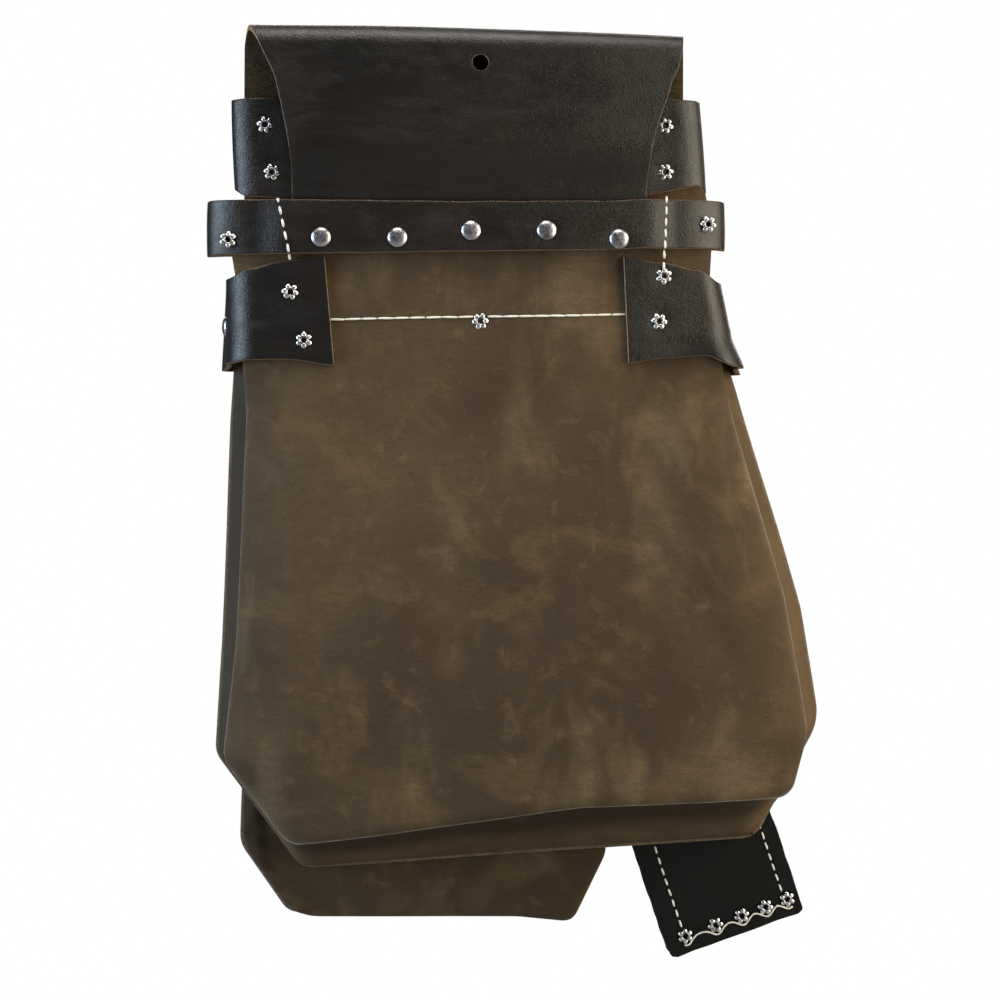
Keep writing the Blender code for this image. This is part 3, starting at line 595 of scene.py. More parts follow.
def rivet_axes():
    """Each rivet node's middle, direction towards its head, and half length, in millimetres."""
    found = {}
    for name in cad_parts:
        if "rivet" not in name:
            continue
        low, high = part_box(name)
        centre = (low + high) / 2 / MM
        axis = -REAR
        if name.startswith("strap_rivet"):
            axis = REAR
        elif name.startswith(("wrap_front", "hanger", "sheath")):
            axis = OUTWARD
        half = (high - low).dot(Vector([abs(part) for part in axis])) / 2 / MM
        if name.startswith("wrap_side"):
            points = np.array([corner.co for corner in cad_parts[name].data.vertices]) / MM
            spread = np.linalg.svd(points - points.mean(0), full_matrices=False)[2][0]
            axis = Vector(spread) * math.copysign(1.0, spread[0] * centre.x)
            half = float(np.ptp(points @ np.array(axis)) / 2)
        if name.startswith("hanger"):
            centre += axis * HANGER_SEAT / 2
            half += HANGER_SEAT / 2
        found[name] = (centre, axis, half)
    return found


RIVETS = rivet_axes()
PINCH_DEPTH = 0.55
PINCH_REACH = 5.2


def near_rivets(points):
    """The rivets that pass close to a set of points."""
    low = [min(point[side] for point in points) - PINCH_REACH * 2 for side in range(3)]
    high = [max(point[side] for point in points) + PINCH_REACH * 2 for side in range(3)]
    return [
        rivet for rivet in RIVETS.values()
        if all(low[side] < rivet[0][side] < high[side] for side in range(3))
    ]


def pinched(point, rivets):
    """Leather drawn in under each rivet's two ends."""
    moved = point.copy()
    for centre, axis, half in rivets:
        gap = point - centre
        along = gap.dot(axis)
        if abs(along) > half + 3.0:
            continue
        aside = (gap - axis * along).length
        if aside < PINCH_REACH * 2.2:
            moved -= axis * (PINCH_DEPTH * along / half * bell(aside, PINCH_REACH))
    return moved


def to_object(name, shape, materials):
    """A bmesh in millimetres as an object with smooth shading, in metres."""
    bmesh.ops.recalc_face_normals(shape, faces=shape.faces)
    for face in shape.faces:
        face.smooth = True
    mesh = bpy.data.meshes.new(name)
    bmesh.ops.scale(shape, vec=(MM, MM, MM), verts=shape.verts)
    shape.to_mesh(mesh)
    shape.free()
    for finish in materials:
        mesh.materials.append(finish)
    made = bpy.data.objects.new(name, mesh)
    bpy.context.collection.objects.link(made)
    return made


def apply_modifiers(made):
    view = bpy.context.evaluated_depsgraph_get()
    view.update()
    finished = bpy.data.meshes.new_from_object(made.evaluated_get(view), depsgraph=view)
    made.modifiers.clear()
    made.data = finished
    return made


def soften(made, width):
    """Rounded edges all round a cut sheet."""
    edges = made.modifiers.new("edges", "BEVEL")
    edges.width = width * MM
    edges.segments = 2
    edges.limit_method = "ANGLE"
    edges.angle_limit = math.radians(48)
    edges.use_clamp_overlap = True
    return apply_modifiers(made)


def slab(name, outer, inner, materials, edge=0.5, steady=False):
    """A closed sheet between two grids: its outer face, its inner face and its cut rim."""
    rows, columns = len(outer), len(outer[0])
    corners = [outer[0][0], outer[0][-1], outer[-1][0], outer[-1][-1], inner[0][0]]
    rivets = near_rivets(corners + [row[columns // 2] for row in outer] + outer[rows // 2])
    shape = bmesh.new()

    def settled(point):
        place = pinched(point, rivets)
        return shape.verts.new(place if steady else place + drift(place))

    def quad(a, b, c, d, index):
        shape.faces.new((a, b, c, d)).material_index = index

    near, far = ([[settled(point) for point in row] for row in grid] for grid in (outer, inner))
    for r in range(rows - 1):
        for c in range(columns - 1):
            quad(near[r][c], near[r][c + 1], near[r + 1][c + 1], near[r + 1][c], 0)
            quad(far[r][c], far[r + 1][c], far[r + 1][c + 1], far[r][c + 1], 1)
        quad(near[r][0], near[r + 1][0], far[r + 1][0], far[r][0], 2)
        quad(near[r][-1], far[r][-1], far[r + 1][-1], near[r + 1][-1], 2)
    for c in range(columns - 1):
        quad(near[0][c], far[0][c], far[0][c + 1], near[0][c + 1], 2)
        quad(near[-1][c], near[-1][c + 1], far[-1][c + 1], far[-1][c], 2)
    made = to_object(name, shape, materials)
    return soften(made, edge) if edge else made


def thickened(grid, thickness, facing):
    """The inner face of a curved sheet: every point moved in from the outer face, away from facing."""
    last_row, last_column = len(grid) - 1, len(grid[0]) - 1

    def normal(r, c):
        across = grid[r][min(c + 1, last_column)] - grid[r][max(c - 1, 0)]
        down = grid[min(r + 1, last_row)][c] - grid[max(r - 1, 0)][c]
        return across.cross(down).normalized()

    middle = normal((last_row + 1) // 2, (last_column + 1) // 2)
    step = math.copysign(thickness, middle.dot(facing))
    return [[point - normal(r, c) * step for c, point in enumerate(row)] for r, row in enumerate(grid)]


def finish_piece(made, body, node):
    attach(made, body)
    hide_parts(node)


# ---------------------------------------------------------------- tunnel sheet, strap, band and wraps


def tunnel_profile():
    """The tunnel sheet's inner line in Y and Z: up the board, over the fold and down the flap."""
    radius = (BOARD_Y + FLAP_BULGE) / 2
    profile = [(BOARD_Y, BOARD_BOTTOM)]
    for step in range(25):
        angle = math.pi * step / 24
        y = BOARD_Y - radius + radius * math.cos(angle)
        profile.append((y, FOLD_CENTRE_Z + radius * math.sin(angle)))
    over_band = -GAP - DARK - 2 * GAP
    for step in range(13):
        y = -FLAP_BULGE + (over_band + FLAP_BULGE) * smooth(step / 12)
        profile.append((y, part_way(BULGE_BOTTOM, OVER_BAND_Z, step / 12)))
    profile += [(-GAP - 0.6, CLAMP_TOP), (-GAP, CLAMP_TOP - 3.0), (-GAP, FLAP_END)]
    return Line(profile).spaced(1.9)


def punch_hole(made):
    """Cut the hang hole, with the cut edge's look on its wall."""
    place = Vector((HANG_HOLE[0], -FLAP_BULGE - DARK / 2, HANG_HOLE[1]))
    shape = bmesh.new()
    radius = HANG_HOLE_RADIUS
    bmesh.ops.create_cone(shape, cap_ends=True, segments=40, radius1=radius, radius2=radius, depth=11.0)
    bmesh.ops.rotate(shape, verts=shape.verts, matrix=Matrix.Rotation(math.pi / 2, 3, "X"))
    bmesh.ops.translate(shape, verts=shape.verts, vec=place)
    punch = to_object("punch", shape, [CUT_EDGE])
    cut = made.modifiers.new("hole", "BOOLEAN")
    cut.operation = "DIFFERENCE"
    cut.object = punch
    apply_modifiers(made)
    bpy.data.objects.remove(punch, do_unlink=True)
    for face in made.data.polygons:
        gap = face.center / MM - place
        if abs(face.normal.y) < 0.5 and math.hypot(gap.x, gap.z) < radius + 0.2 and abs(gap.y) < 8:
            face.material_index = 2


def make_tunnel_sheet():
    """The board behind the back panel, folded over the top and brought down as the belt flap."""
    inside = tunnel_profile()
    fold_start = next(index for index, point in enumerate(inside) if point.y > FOLD_CENTRE_Z)
    grids = []
    for path in (offset_path(inside, -DARK), inside):
        grid = []
        for index, point in enumerate(path):
            height = inside[index].y
            over = smooth((index - fold_start) / 10)
            left = part_way(BOARD_LEFT, between(FLAP_LEFT, height), over)
            right = part_way(BOARD_RIGHT, between(FLAP_RIGHT, height), over)
            depth = 0.0 if index < fold_start else -0.9 * smooth((point.y + 36.0) / 25.0)
            row = []
            for share in crowded(72, 0.7):
                x = part_way(left, right, share)
                lift = (FOLD_LIFT - FOLD_SLOPE * (x - FOLD_LEFT)) * smooth((point.y + 10.0) / 45.0)
                row.append(Vector((x, point.x + depth * math.sin(math.pi * share), point.y + lift)))
            grid.append(row)
        grids.append(grid)
    made = slab("belt_flap", *grids, OILED_SET, edge=0)
    punch_hole(made)
    soften(made, 0.5)
    finish_piece(made, "pouch", "tunnel_sheet")


def ribbon(name, path, thickness, low, high, rows=14, cup=0.35, lean=None):
    """A leather strip on edge: path is its inner line in X and Y, and lean shifts it in X."""
    inside = Line(path).spaced(1.6)
    outside = offset_path(inside, thickness)
    cupped = offset_path(inside, thickness + math.copysign(cup, thickness))
    outer, inner = [], []
    for share in crowded(rows, 0.6):
        outer_row, inner_row = [], []
        for a, b, c in zip(inside, outside, cupped):
            ripple = 0.25 * rough(a.x / 14.0, a.y / 14.0, share)
            height = part_way(high(a), low(a), share) + ripple
            shift = (c - b) * (4 * share * (1 - share))
            if lean is not None:
                shift.x += lean(a, share)
            outer_row.append(Vector((*(b + shift), height)))
            inner_row.append(Vector((*(a + shift), height)))
        outer.append(outer_row)
        inner.append(inner_row)
    return slab(name, outer, inner, OILED_SET)


def strap_top(point):
    return between(STRAP_TOPS, point.x)


def strap_bottom(point):
    return between(STRAP_BOTTOMS, point.x)


def end_fold(side, start, reach, depth):
    """The inner line of a strip's end: a slack fold, away from the wearer's side and back."""
    middle = depth - GAP
    points = []
    for step in range(53):
        angle = math.pi / 2 * step / 26
        run = depth if step < 27 else STRIP_FRONT - middle
        x = side * (start + reach * math.sin(angle))
        points.append(Vector((x, middle - run * math.cos(angle))))
    return points


def strap_y(x):
    """The clamp strap's outer face, which steps down beside the flap."""
    raised = -2 * (GAP + DARK)
    low_face = -GAP - DARK
    start, end = STRAP_STEP
    face = raised + (low_face - raised) * smooth((abs(x) - start) / (end - start))
    fold, depth = STRAP_FOLD
    reach = STRAP_REACH[1 if x > 0 else -1] - fold
    share = max(0.0, abs(x) - fold) / reach
    return face + (depth + DARK) * (1 - math.sqrt(max(0.0, 1 - min(1.0, share) ** 2)))


def make_strap():
    fold, depth = STRAP_FOLD
    halves = []
    for side in (-1, 1):
        half = [20.0, 50.0, 79.0]
        half += [part_way(STRAP_STEP[0], fold - 0.5, step / 12) for step in range(1, 13)]
        half = [Vector((side * x, strap_y(side * x) + DARK)) for x in half]
        half += end_fold(side, fold, STRAP_REACH[side] - DARK - fold, depth)
        half.append(Vector((side * STRAP_END_X, STRIP_FRONT)))
        halves.append(half)
    path = list(reversed(halves[0])) + halves[1]
    made = ribbon("clamp_strap_leather", path, -DARK, strap_bottom, strap_top, cup=0.25)
    finish_piece(made, "pouch", "clamp_strap")


def make_band():
    """Four open tool loops on the front, and both ends wrapped to the wearer's side as tabs."""
    fold, depth = BAND_FOLD
    reach = BAND_HALF_LENGTH - DARK - fold
    path = [Vector((-BAND_END_X, -GAP))]
    path += end_fold(-1, fold, reach, depth)
    for post, after in zip(BAND_POSTS, BAND_POSTS[1:]):
        start, end = post + LOOP_FLAT, after - LOOP_FLAT
        for step in range(25):
            rise = LOOP_BULGE * math.sin(math.pi * step / 24) ** 1.5
            path.append(Vector((part_way(start, end, step / 24), STRIP_FRONT + rise)))
    path += reversed(end_fold(1, fold, reach, depth))
    path.append(Vector((BAND_END_X, -GAP)))

    def foot(point):
        tab = between(TAB_FEET, point.x)
        return part_way(tab, BAND_BOTTOM, smooth((point.y - 0.5) / 4.0))

    def top(point):
        return between(BAND_TOPS, point.x)

    def lean(point, share):
        if point.x > 0:
            return (1.0 + 3.0 * share) * smooth((point.x - 80.0) / 20.0)
        return 1.5 * share * smooth((-80.0 - point.x) / 20.0)

    made = ribbon("tool_band_leather", path, DARK, foot, top, rows=20, cup=0.3, lean=lean)
    finish_piece(made, "pouch", "tool_band")


def front_y(z):
    """The outer face of the main bag's front panel at a height."""
    return MOUTH_DEPTH + (MOUTH_Z - z) * math.tan(FRONT_TILT)


def edge_x(edge, z):
    """Where a bag's side edge, given from the top down, stands at a height."""
    return between([(corner[1], corner[0]) for corner in edge], z)


def wrap_path(side, z, inner_x):
    """The inside of a corner wrap at one height: along the back, round the side, along the front."""
    order = -side
    back_x = edge_x(GUSSET_BACK_EDGE[::order], z) + side * WRAP_STAND_OFF
    down_front = (z - MOUTH_Z) / math.cos(FRONT_TILT)
    front_x = edge_x(FRONT_EDGE[::order], down_front) + side * WRAP_STAND_OFF
    outside = front_y(z) + GAP
    corners = (
        (inner_x, -GAP, 0),
        (back_x, -GAP, WRAP_REAR_CORNER),
        (front_x, outside, WRAP_CORNER),
        (inner_x, outside, 0),
    )
    return Line(rounded(corners, 16)).divided(170), back_x


def rising(table, share):
    """A value read from (share, value) pairs that go upwards."""
    for before, after in zip(table, table[1:]):
        if before[0] <= share <= after[0]:
            way = smooth((share - before[0]) / (after[0] - before[0]))
            return part_way(before[1], after[1], way)
    return table[-1][1]


def make_wrap(node, side, wrap):
    """A corner wrap round the bag's mouth, cut by hand: its top and foot edges wander."""
    tops, feet, (upper_x, lower_x) = wrap["top"], wrap["bottom"], wrap["inner"]
    outer, inner = [], []
    for share in crowded(24, 0.5):
        level, edge_level = (part_way(tops[end][1], feet[end][1], share) for end in (0, -1))
        inner_x = part_way(upper_x, lower_x, share)
        path, back_x = wrap_path(side, edge_level, inner_x)
        row_outer, row_inner = [], []
        for a, b in zip(path, offset_path(path, -DARK * side)):
            reach = abs(a.x - inner_x) / abs(back_x - inner_x)
            if a.y > front_y(level) - 6.0:
                reach = min(1.3, 1.3 * reach)
            elif a.y > WRAP_REAR_CORNER:
                reach = 1.0 + 0.3 * min(1.0, (a.y - WRAP_REAR_CORNER) / 12.0)
            top, foot = rising(tops, reach), rising(feet, reach)
            height = part_way(top, foot, share)
            follow = (edge_level - height) * math.tan(FRONT_TILT) * max(0.0, a.y) / front_y(edge_level)
            flare = wrap["flare"] * smooth((share - 0.6) / 0.4) * bell(a.x - back_x, 14.0)
            shift = (b - a).normalized() * (flare if a.y < 12.0 else 0.0)
            ripple = 0.3 * rough(a.x / 16.0, a.y / 16.0, height / 30.0)
            for row, point in ((row_inner, a), (row_outer, b)):
                row.append(Vector((point.x + shift.x, point.y + follow + shift.y, height + ripple)))
        outer.append(row_outer)
        inner.append(row_inner)
    made = slab(node + "_leather", outer, inner, OILED_SET)
    finish_piece(made, "pouch", node)


# ---------------------------------------------------------------- suede bags


def patch_grid(corners, feet, rows, columns):
    """Points over an outline, with their shares and their distances to the sides and to the foot."""
    path = rounded(corners)
    start, end = (
        min(range(len(path)), key=lambda index: (path[index] - Vector(foot)).length) for foot in feet
    )
    left, bottom = Line(path[:start + 1]), Line(path[start:end + 1])
    right, top = Line(list(reversed(path[end:]))), Line([path[0], path[-1]])
    grid = []
    for v in crowded(rows, 0.8):
        row = []
        for u in crowded(columns, 0.85):
            edges = left.at(v) * (1 - u) + right.at(v) * u + top.at(u) * (1 - v) + bottom.at(u) * v
            ends = top.at(0) * ((1 - u) * (1 - v)) + top.at(1) * (u * (1 - v))
            ends = ends + bottom.at(0) * ((1 - u) * v) + bottom.at(1) * (u * v)
            point = edges - ends
            aside = min((point - left.at(v)).length, (right.at(v) - point).length)
            row.append((point, u, v, aside, (point - bottom.at(u)).length))
        grid.append(row)
    return grid


def rolled(distance, reach, depth):
    """How far a panel's face falls back at a distance from its rolled edge."""
    if distance >= reach:
        return 0.0
    return depth * (1.0 - math.sqrt(max(0.0, 1.0 - (1.0 - distance / reach) ** 2)))


SIDE_ROLL = (14.0, 4.8)
FOOT_ROLL = (7.0, 2.8)
EDGE_FALL = 3.6
EDGE_FALL_REACH = 30.0


def back_panel_y(z):
    """The wearer's face of the back panel at a height."""
    return min(0.0, (z - CREASE_Z) * math.tan(CREASE_TILT))


def ridge(point, start, end, width, height):
    """A soft ridge along a line, fading at both ends."""
    start, end = Vector(start), Vector(end)
    run = end - start
    share = (point - start).dot(run) / run.length_squared
    if not -0.2 < share < 1.2:
        return 0.0
    aside = (point - start - run * share).length
    ends = smooth((share + 0.2) / 0.4) * smooth((1.2 - share) / 0.4)
    return height * bell(aside, width) * ends


BACK_FOLDS = (
    ((-70.0, -150.0), (-30.0, -235.0), 16.0, 0.9),
    ((-15.0, -160.0), (60.0, -250.0), 20.0, 1.0),
    ((95.0, -130.0), (128.0, -250.0), 9.0, 1.6),
    ((60.0, -285.0), (120.0, -215.0), 14.0, 0.9),
    ((-85.0, -180.0), (-78.0, -290.0), 10.0, 1.1),
    ((-60.0, -300.0), (10.0, -240.0), 15.0, -0.9),
    ((30.0, -125.0), (75.0, -190.0), 13.0, -0.8),
)


def suede_panel(name, spots, place, facing, materials=None, edge=0.9):
    """A panel over a patch grid, with each point placed by a function of where it lies."""
    outer = [[place(*spot) for spot in row] for row in spots]
    return slab(name, outer, thickened(outer, SUEDE, facing), materials or SUEDE_SET, edge=edge)


def make_back_panel():
    def place(point, u, v, aside, below):
        fall = rolled(aside, *SIDE_ROLL) * smooth((-100.0 - point.y) / 30.0) + rolled(below, *FOOT_ROLL)
        near = max(0.0, 1.0 - aside / EDGE_FALL_REACH)
        fall += EDGE_FALL * near ** 2 * smooth((-90.0 - point.y) / 60.0)
        belly = 5.5 * 4.0 * u * (1.0 - u) * smooth((-115.0 - point.y) / 110.0)
        belly *= 0.35 + 0.65 * smooth(below / 60.0)
        folds = sum(ridge(point, *fold) for fold in BACK_FOLDS)
        here = Vector((point.x / 34.0, 0.0, point.y / 34.0))
        folds += 0.9 * noise.noise(here) + 0.35 * noise.noise(here * 2.6)
        out = (belly + folds * smooth(aside / 18.0)) * smooth((-72.0 - point.y) / 50.0)
        return Vector((point.x, back_panel_y(point.y) + fall - out, point.y))

    made = suede_panel("suede_back", patch_grid(BACK_EDGE, BACK_FEET, 150, 110), place, REAR)
    finish_piece(made, "pouch", "back_panel")


def bag_front(name, spots, frame_of_bag, belly_of, roll):
    """A bag's outer panel, its side and foot edges rolled back towards the gusset."""
    def place(point, u, v, aside, below):
        near = min(aside, below)
        free = smooth((-4.0 - point.y) / 30.0)
        fall = rolled(near, *roll) * (0.25 + 0.75 * free)
        here = Vector((point.x / 30.0, 5.0, point.y / 30.0))
        buckles = (0.8 * noise.noise(here) - 0.8) * free * smooth(near / 20.0)
        return frame_of_bag @ Vector((point.x, belly_of(point, u, v) - fall + buckles, point.y))

    return suede_panel(name, spots, place, frame_of_bag.to_3x3() @ -REAR)


def gusset(name, back_corners, front_corners, back_point, front_point, sag_of, overhang, stations=210):
    """One strip round a bag, set in under both panels' edges and folding in along its middle."""
    back = Line(offset_path(rounded(back_corners), overhang))
    front = Line(offset_path(rounded(front_corners), 1.0))
    outer = []
    for step in range(stations + 1):
        share = step / stations
        a, b = back.at(share), front.at(share)
        ahead = back.at(share + 0.004) - back.at(share - 0.004)
        out = Vector((ahead.y, 0.0, -ahead.x)).normalized()
        near, far = back_point(a), front_point(b)
        outer.append([near.lerp(far, cross) + out * sag_of(cross, a) for cross in crowded(18, 0.3)])
    return slab(name, outer, thickened(outer, SUEDE, Vector((0, 0, -1))), SIDE_SET)


def make_main_bag():
    def belly(point, u, v):
        return -1.0 * math.sin(math.pi * u) * smooth(-point.y / 60.0)

    spots = patch_grid(FRONT_EDGE, FRONT_FEET, 120, 96)
    made = bag_front("suede_front", spots, FRONT, belly, (9.0, 4.6))
    finish_piece(made, "pouch", "main_front_panel")

    def back_point(point):
        to_corner = min(point.x - BACK_FEET[0][0], BACK_FEET[1][0] - point.x)
        beside = max(smooth((point.y + 308.0) / 12.0), 1.0 - smooth(to_corner / 24.0))
        return Vector((point.x, back_panel_y(point.y) + 3.2 + 3.4 * beside, point.y))

    def front_point(point):
        return FRONT @ Vector((point.x, -4.4, point.y))

    def sag_of(cross, point):
        hold = smooth((MOUTH_Z - 34.0 - point.y) / 50.0)
        wave = math.sin(math.pi * cross)
        ripple = 1.2 * rough(point.x / 26.0, cross * 1.5, point.y / 26.0)
        side = 1.0 if point.y > -270.0 else smooth((point.y + 330.0) / 60.0)
        fold = -14.0 * side * hold * math.sin(math.pi * cross ** 0.62)
        swell = 0.0
        if point.x > 0:
            swell = 5.0 * bell(point.y + 272.0, 26.0) * wave
            fold *= 0.6
        return fold + swell + 2.2 * math.sin(math.pi * cross ** 3) + ripple * wave * (0.3 + hold)

    made = gusset("suede_gusset", GUSSET_BACK_EDGE, FRONT_EDGE, back_point, front_point, sag_of, 3.5)
    finish_piece(made, "pouch", "main_gusset")


def make_pocket():
    def place(point, u, v, aside, below):
        near = min(aside, below)
        free = smooth((-8.0 - point.y) / 30.0)
        here = Vector((point.x / 28.0, 2.0, point.y / 28.0))
        buckles = 0.7 * (noise.noise(here) + 0.6) * free * smooth(near / 16.0)
        rubbed = smooth((-58.0 - point.x) / 25.0) * bell(near, 13.0) * free
        buckles += 2.2 * rubbed * rough(point.x / 7.0, 7.0, point.y / 4.5)
        y = POCKET_BACK_START + rolled(near, 6.0, 3.0) * free + buckles
        return HINGE @ Vector((point.x, y, point.y))

    spots = patch_grid(POCKET_BACK_EDGE, POCKET_BACK_FEET, 96, 84)
    made = suede_panel("suede_pocket_back", spots, place, -OUTWARD, POCKET_SET, 0.6)
    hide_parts("pocket_back_panel")
    start, end = (HINGE @ Vector((0, 0, height)) * MM for height in (2.5, -7.0))
    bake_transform(made)
    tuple(start)
    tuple(end)

    def belly(point, u, v):
        return 5.0 * math.sin(math.pi * u) * smooth(-point.y / 50.0) * smooth((1 - v) * 4.0)

    spots = patch_grid(POCKET_FRONT_EDGE, POCKET_FRONT_FEET, 84, 80)
    made = bag_front("suede_pocket_front", spots, POCKET_FRONT, belly, (8.0, 4.6))
    finish_piece(made, "pocket", "pocket_front_panel")

    def back_point(point):
        return HINGE @ Vector((point.x, POCKET_BACK_START + 2.6, point.y))

    def front_point(point):
        return POCKET_FRONT @ Vector((point.x, -4.2, point.y))

    def sag_of(cross, point):
        wave = math.sin(math.pi * cross)
        hold = smooth((-14.0 - point.y) / 30.0)
        side = 1.0 if point.y > -120.0 else 0.3
        ripple = 0.9 * rough(point.x / 22.0, cross * 1.5, point.y / 22.0)
        return -4.5 * side * hold * wave * wave + ripple * wave + 1.2 * wave

    edges = (POCKET_BACK_EDGE[1:-1], POCKET_FRONT_EDGE)
    made = gusset("suede_pocket_gusset", *edges, back_point, front_point, sag_of, 5.0, 150)
    finish_piece(made, "pocket", "pocket_gusset")


def make_hanger():
    left, right = HANGER_SPAN

    def place(share, along, y):
        x = part_way(left, right, along)
        ripple = 0.3 * rough(x / 15.0, share, 3.0)
        z = part_way(HANGER_TOP, HANGER_BOTTOM, share) + ripple
        return FRONT @ Vector((x, y + 0.3 * math.sin(math.pi * share), z))

    outer, inner = (
        [[place(share, along, y) for along in crowded(80, 0.6)] for share in crowded(10, 0.6)]
        for y in (HANGER_SEAT + DARK, HANGER_SEAT)
    )
    made = slab("pocket_hanger_leather", outer, inner, OILED_SET)
    finish_piece(made, "pouch", "pocket_hanger")


# ---------------------------------------------------------------- sheath


def sheath_half_width(z, tongue):
    """Half the sheath's width at a height, in the sheath's own frame."""
    foot = SHEATH_BOTTOM + SHEATH_CORNER
    if z < foot:
        inset = math.sqrt(max(0.0, SHEATH_CORNER ** 2 - (foot - z) ** 2))
        return SHEATH_HALF_WIDTH - SHEATH_CORNER + inset
    if not tongue or z <= SHEATH_SHOULDER:
        return SHEATH_HALF_WIDTH
    narrowed = smooth((z - SHEATH_SHOULDER) / SHEATH_NECK)
    width = TONGUE_HALF_WIDTH + (SHEATH_HALF_WIDTH - TONGUE_HALF_WIDTH) * (1 - narrowed)
    rise = max(0.0, z - (TONGUE_TOP - TONGUE_ROUND))
    return width - TONGUE_ROUND + math.sqrt(max(0.0, TONGUE_ROUND ** 2 - rise ** 2))


def sheath_waver(side, z):
    """The sheath's hand-cut side edges aren't quite straight."""
    slow = rough(side * 3.0, z / 17.0, 1.0)
    return 0.8 * slow + 0.5 * rough(side * 5.0, z / 8.0, 4.0)


def above_welt(z):
    """0 at the welt's foot, rising to 1 further up, where the sheath is free to swell."""
    return smooth((z - SHEATH_BOTTOM - WELT_FOOT) / 40.0)


def sheath_layer(node, outer_y, inner_y, top, bulge):
    """The sheath's back, which goes up into the tongue, or its front, which swells over its tool."""
    def place(share, across, y):
        z = part_way(top, SHEATH_BOTTOM, share)
        side = 2 * across - 1
        half = max(1.0, sheath_half_width(z, top == TONGUE_TOP))
        x = side * half + sheath_waver(side, z) * abs(side) ** 3
        swell = bulge * math.cos(side * math.pi / 2) ** 1.5 * above_welt(z)
        wave = 0.6 * rough(x / 13.0, 2.0, 0.0) * smooth((SHEATH_BOTTOM + 12.0 - z) / 12.0)
        return SHEATH @ Vector((x, y + swell, z + wave))

    outer, inner = (
        [[place(share, across, y) for across in crowded(34, 0.7)] for share in crowded(90, 0.55)]
        for y in (outer_y, inner_y)
    )
    made = slab(node + "_leather", outer, inner, BLACK_SET, edge=0.6, steady=True)
    finish_piece(made, "sheath", node)


def make_sheath():
    back_y, half = SHEATH_BACK_Y, SHEATH_HALF_WIDTH
    welt_y = back_y + DARK + GAP
    front_y = welt_y + WELT + GAP
    sheath_layer("sheath_back", back_y, back_y + DARK, TONGUE_TOP, 0.0)
    sheath_layer("sheath_front", front_y + DARK, front_y, SHEATH_MOUTH, SHEATH_BULGE)
    edges = []
    for in_by, up_by, corner in ((0.0, 0.0, SHEATH_CORNER), (WELT_WIDTH, WELT_FOOT, WELT_CORNER)):
        side, foot = half - in_by, SHEATH_BOTTOM + up_by
        corners = [(-side, SHEATH_MOUTH, 0), (-side, foot, corner)]
        corners += [(side, foot, corner), (side, SHEATH_MOUTH, 0)]
        edges.append(Line(rounded(corners)).divided(180))
    outer, inner = [], []
    for share in crowded(8, 0.3):
        y = welt_y + WELT * share
        groove = 0.7 * bell(share - 0.5, 0.08) + 0.5
        outer_row = []
        for a, b in zip(*edges):
            waver = 0.4 * rough(a.x / 9.0, a.y / 9.0, share * 2.0) - groove
            a = a + (a - b).normalized() * waver
            outer_row.append(SHEATH @ Vector((a.x, y, a.y)))
        outer.append(outer_row)
        inner.append([SHEATH @ Vector((b.x, y, b.y)) for b in edges[1]])
    materials = (BLACK_EDGE, BLACK_EDGE, BLACK_FLESH)
    made = slab("sheath_welt_leather", outer, inner, materials, edge=0.3, steady=True)
    finish_piece(made, "sheath", "sheath_welt")


# ---------------------------------------------------------------- rivets


def circle(count):
    """The cosine and sine at even steps of one turn."""
    angles = [2 * math.pi * step / count for step in range(count)]
    return [(math.cos(angle), math.sin(angle)) for angle in angles]


def tube(shape, rings, index=0, capped=False):
    """Faces between rings of corners, where a ring of one corner is a tip."""
    for near, far in zip(rings, rings[1:]):
        count = max(len(near), len(far))
        for side in range(count):
            after = (side + 1) % count
            if len(near) == 1:
                corners = (near[0], far[side], far[after])
            elif len(far) == 1:
                corners = (near[side], far[0], near[after])
            else:
                corners = (near[side], far[side], far[after], near[after])
            shape.faces.new(corners).material_index = index
    if capped:
        shape.faces.new(rings[0])
        shape.faces.new(rings[-1])


def lathe(shape, profile, index):
    """A turned shape through (radius, height) pairs, closed where a radius is 0."""
    rings = []
    for radius, height in profile:
        spots = circle(28) if radius else [(0.0, 0.0)]
        rings.append([shape.verts.new((radius * x, radius * y, height)) for x, y in spots])
    tube(shape, rings, index)


def petal(shape, turn, tail, chance):
    """One turned petal of a split rivet end: a rounded tongue that curls down onto the leather."""
    stations = 12
    length = PETAL_LENGTH * chance.uniform(0.9, 1.06)
    width = PETAL_WIDTH * chance.uniform(0.88, 1.06)
    spun = Matrix.Rotation(turn, 4, "Z")
    rings = []
    for step in range(stations + 1):
        angle = math.pi * step / stations
        size = math.sin(angle)
        reach = PETAL_CENTRE - length * math.cos(angle)
        droop = 0.20 * ((reach - 2.1) / 1.3) ** 2
        spots = [(0.0, 0.35)]
        if 0 < step < stations:
            spots = [(width * size ** 0.8 * c, 0.62 + 0.42 * size * s - droop) for c, s in circle(10)]
        corners = [spun @ Vector((reach, x, -tail - height)) for x, height in spots]
        rings.append([shape.verts.new(corner) for corner in corners])
    tube(shape, rings)


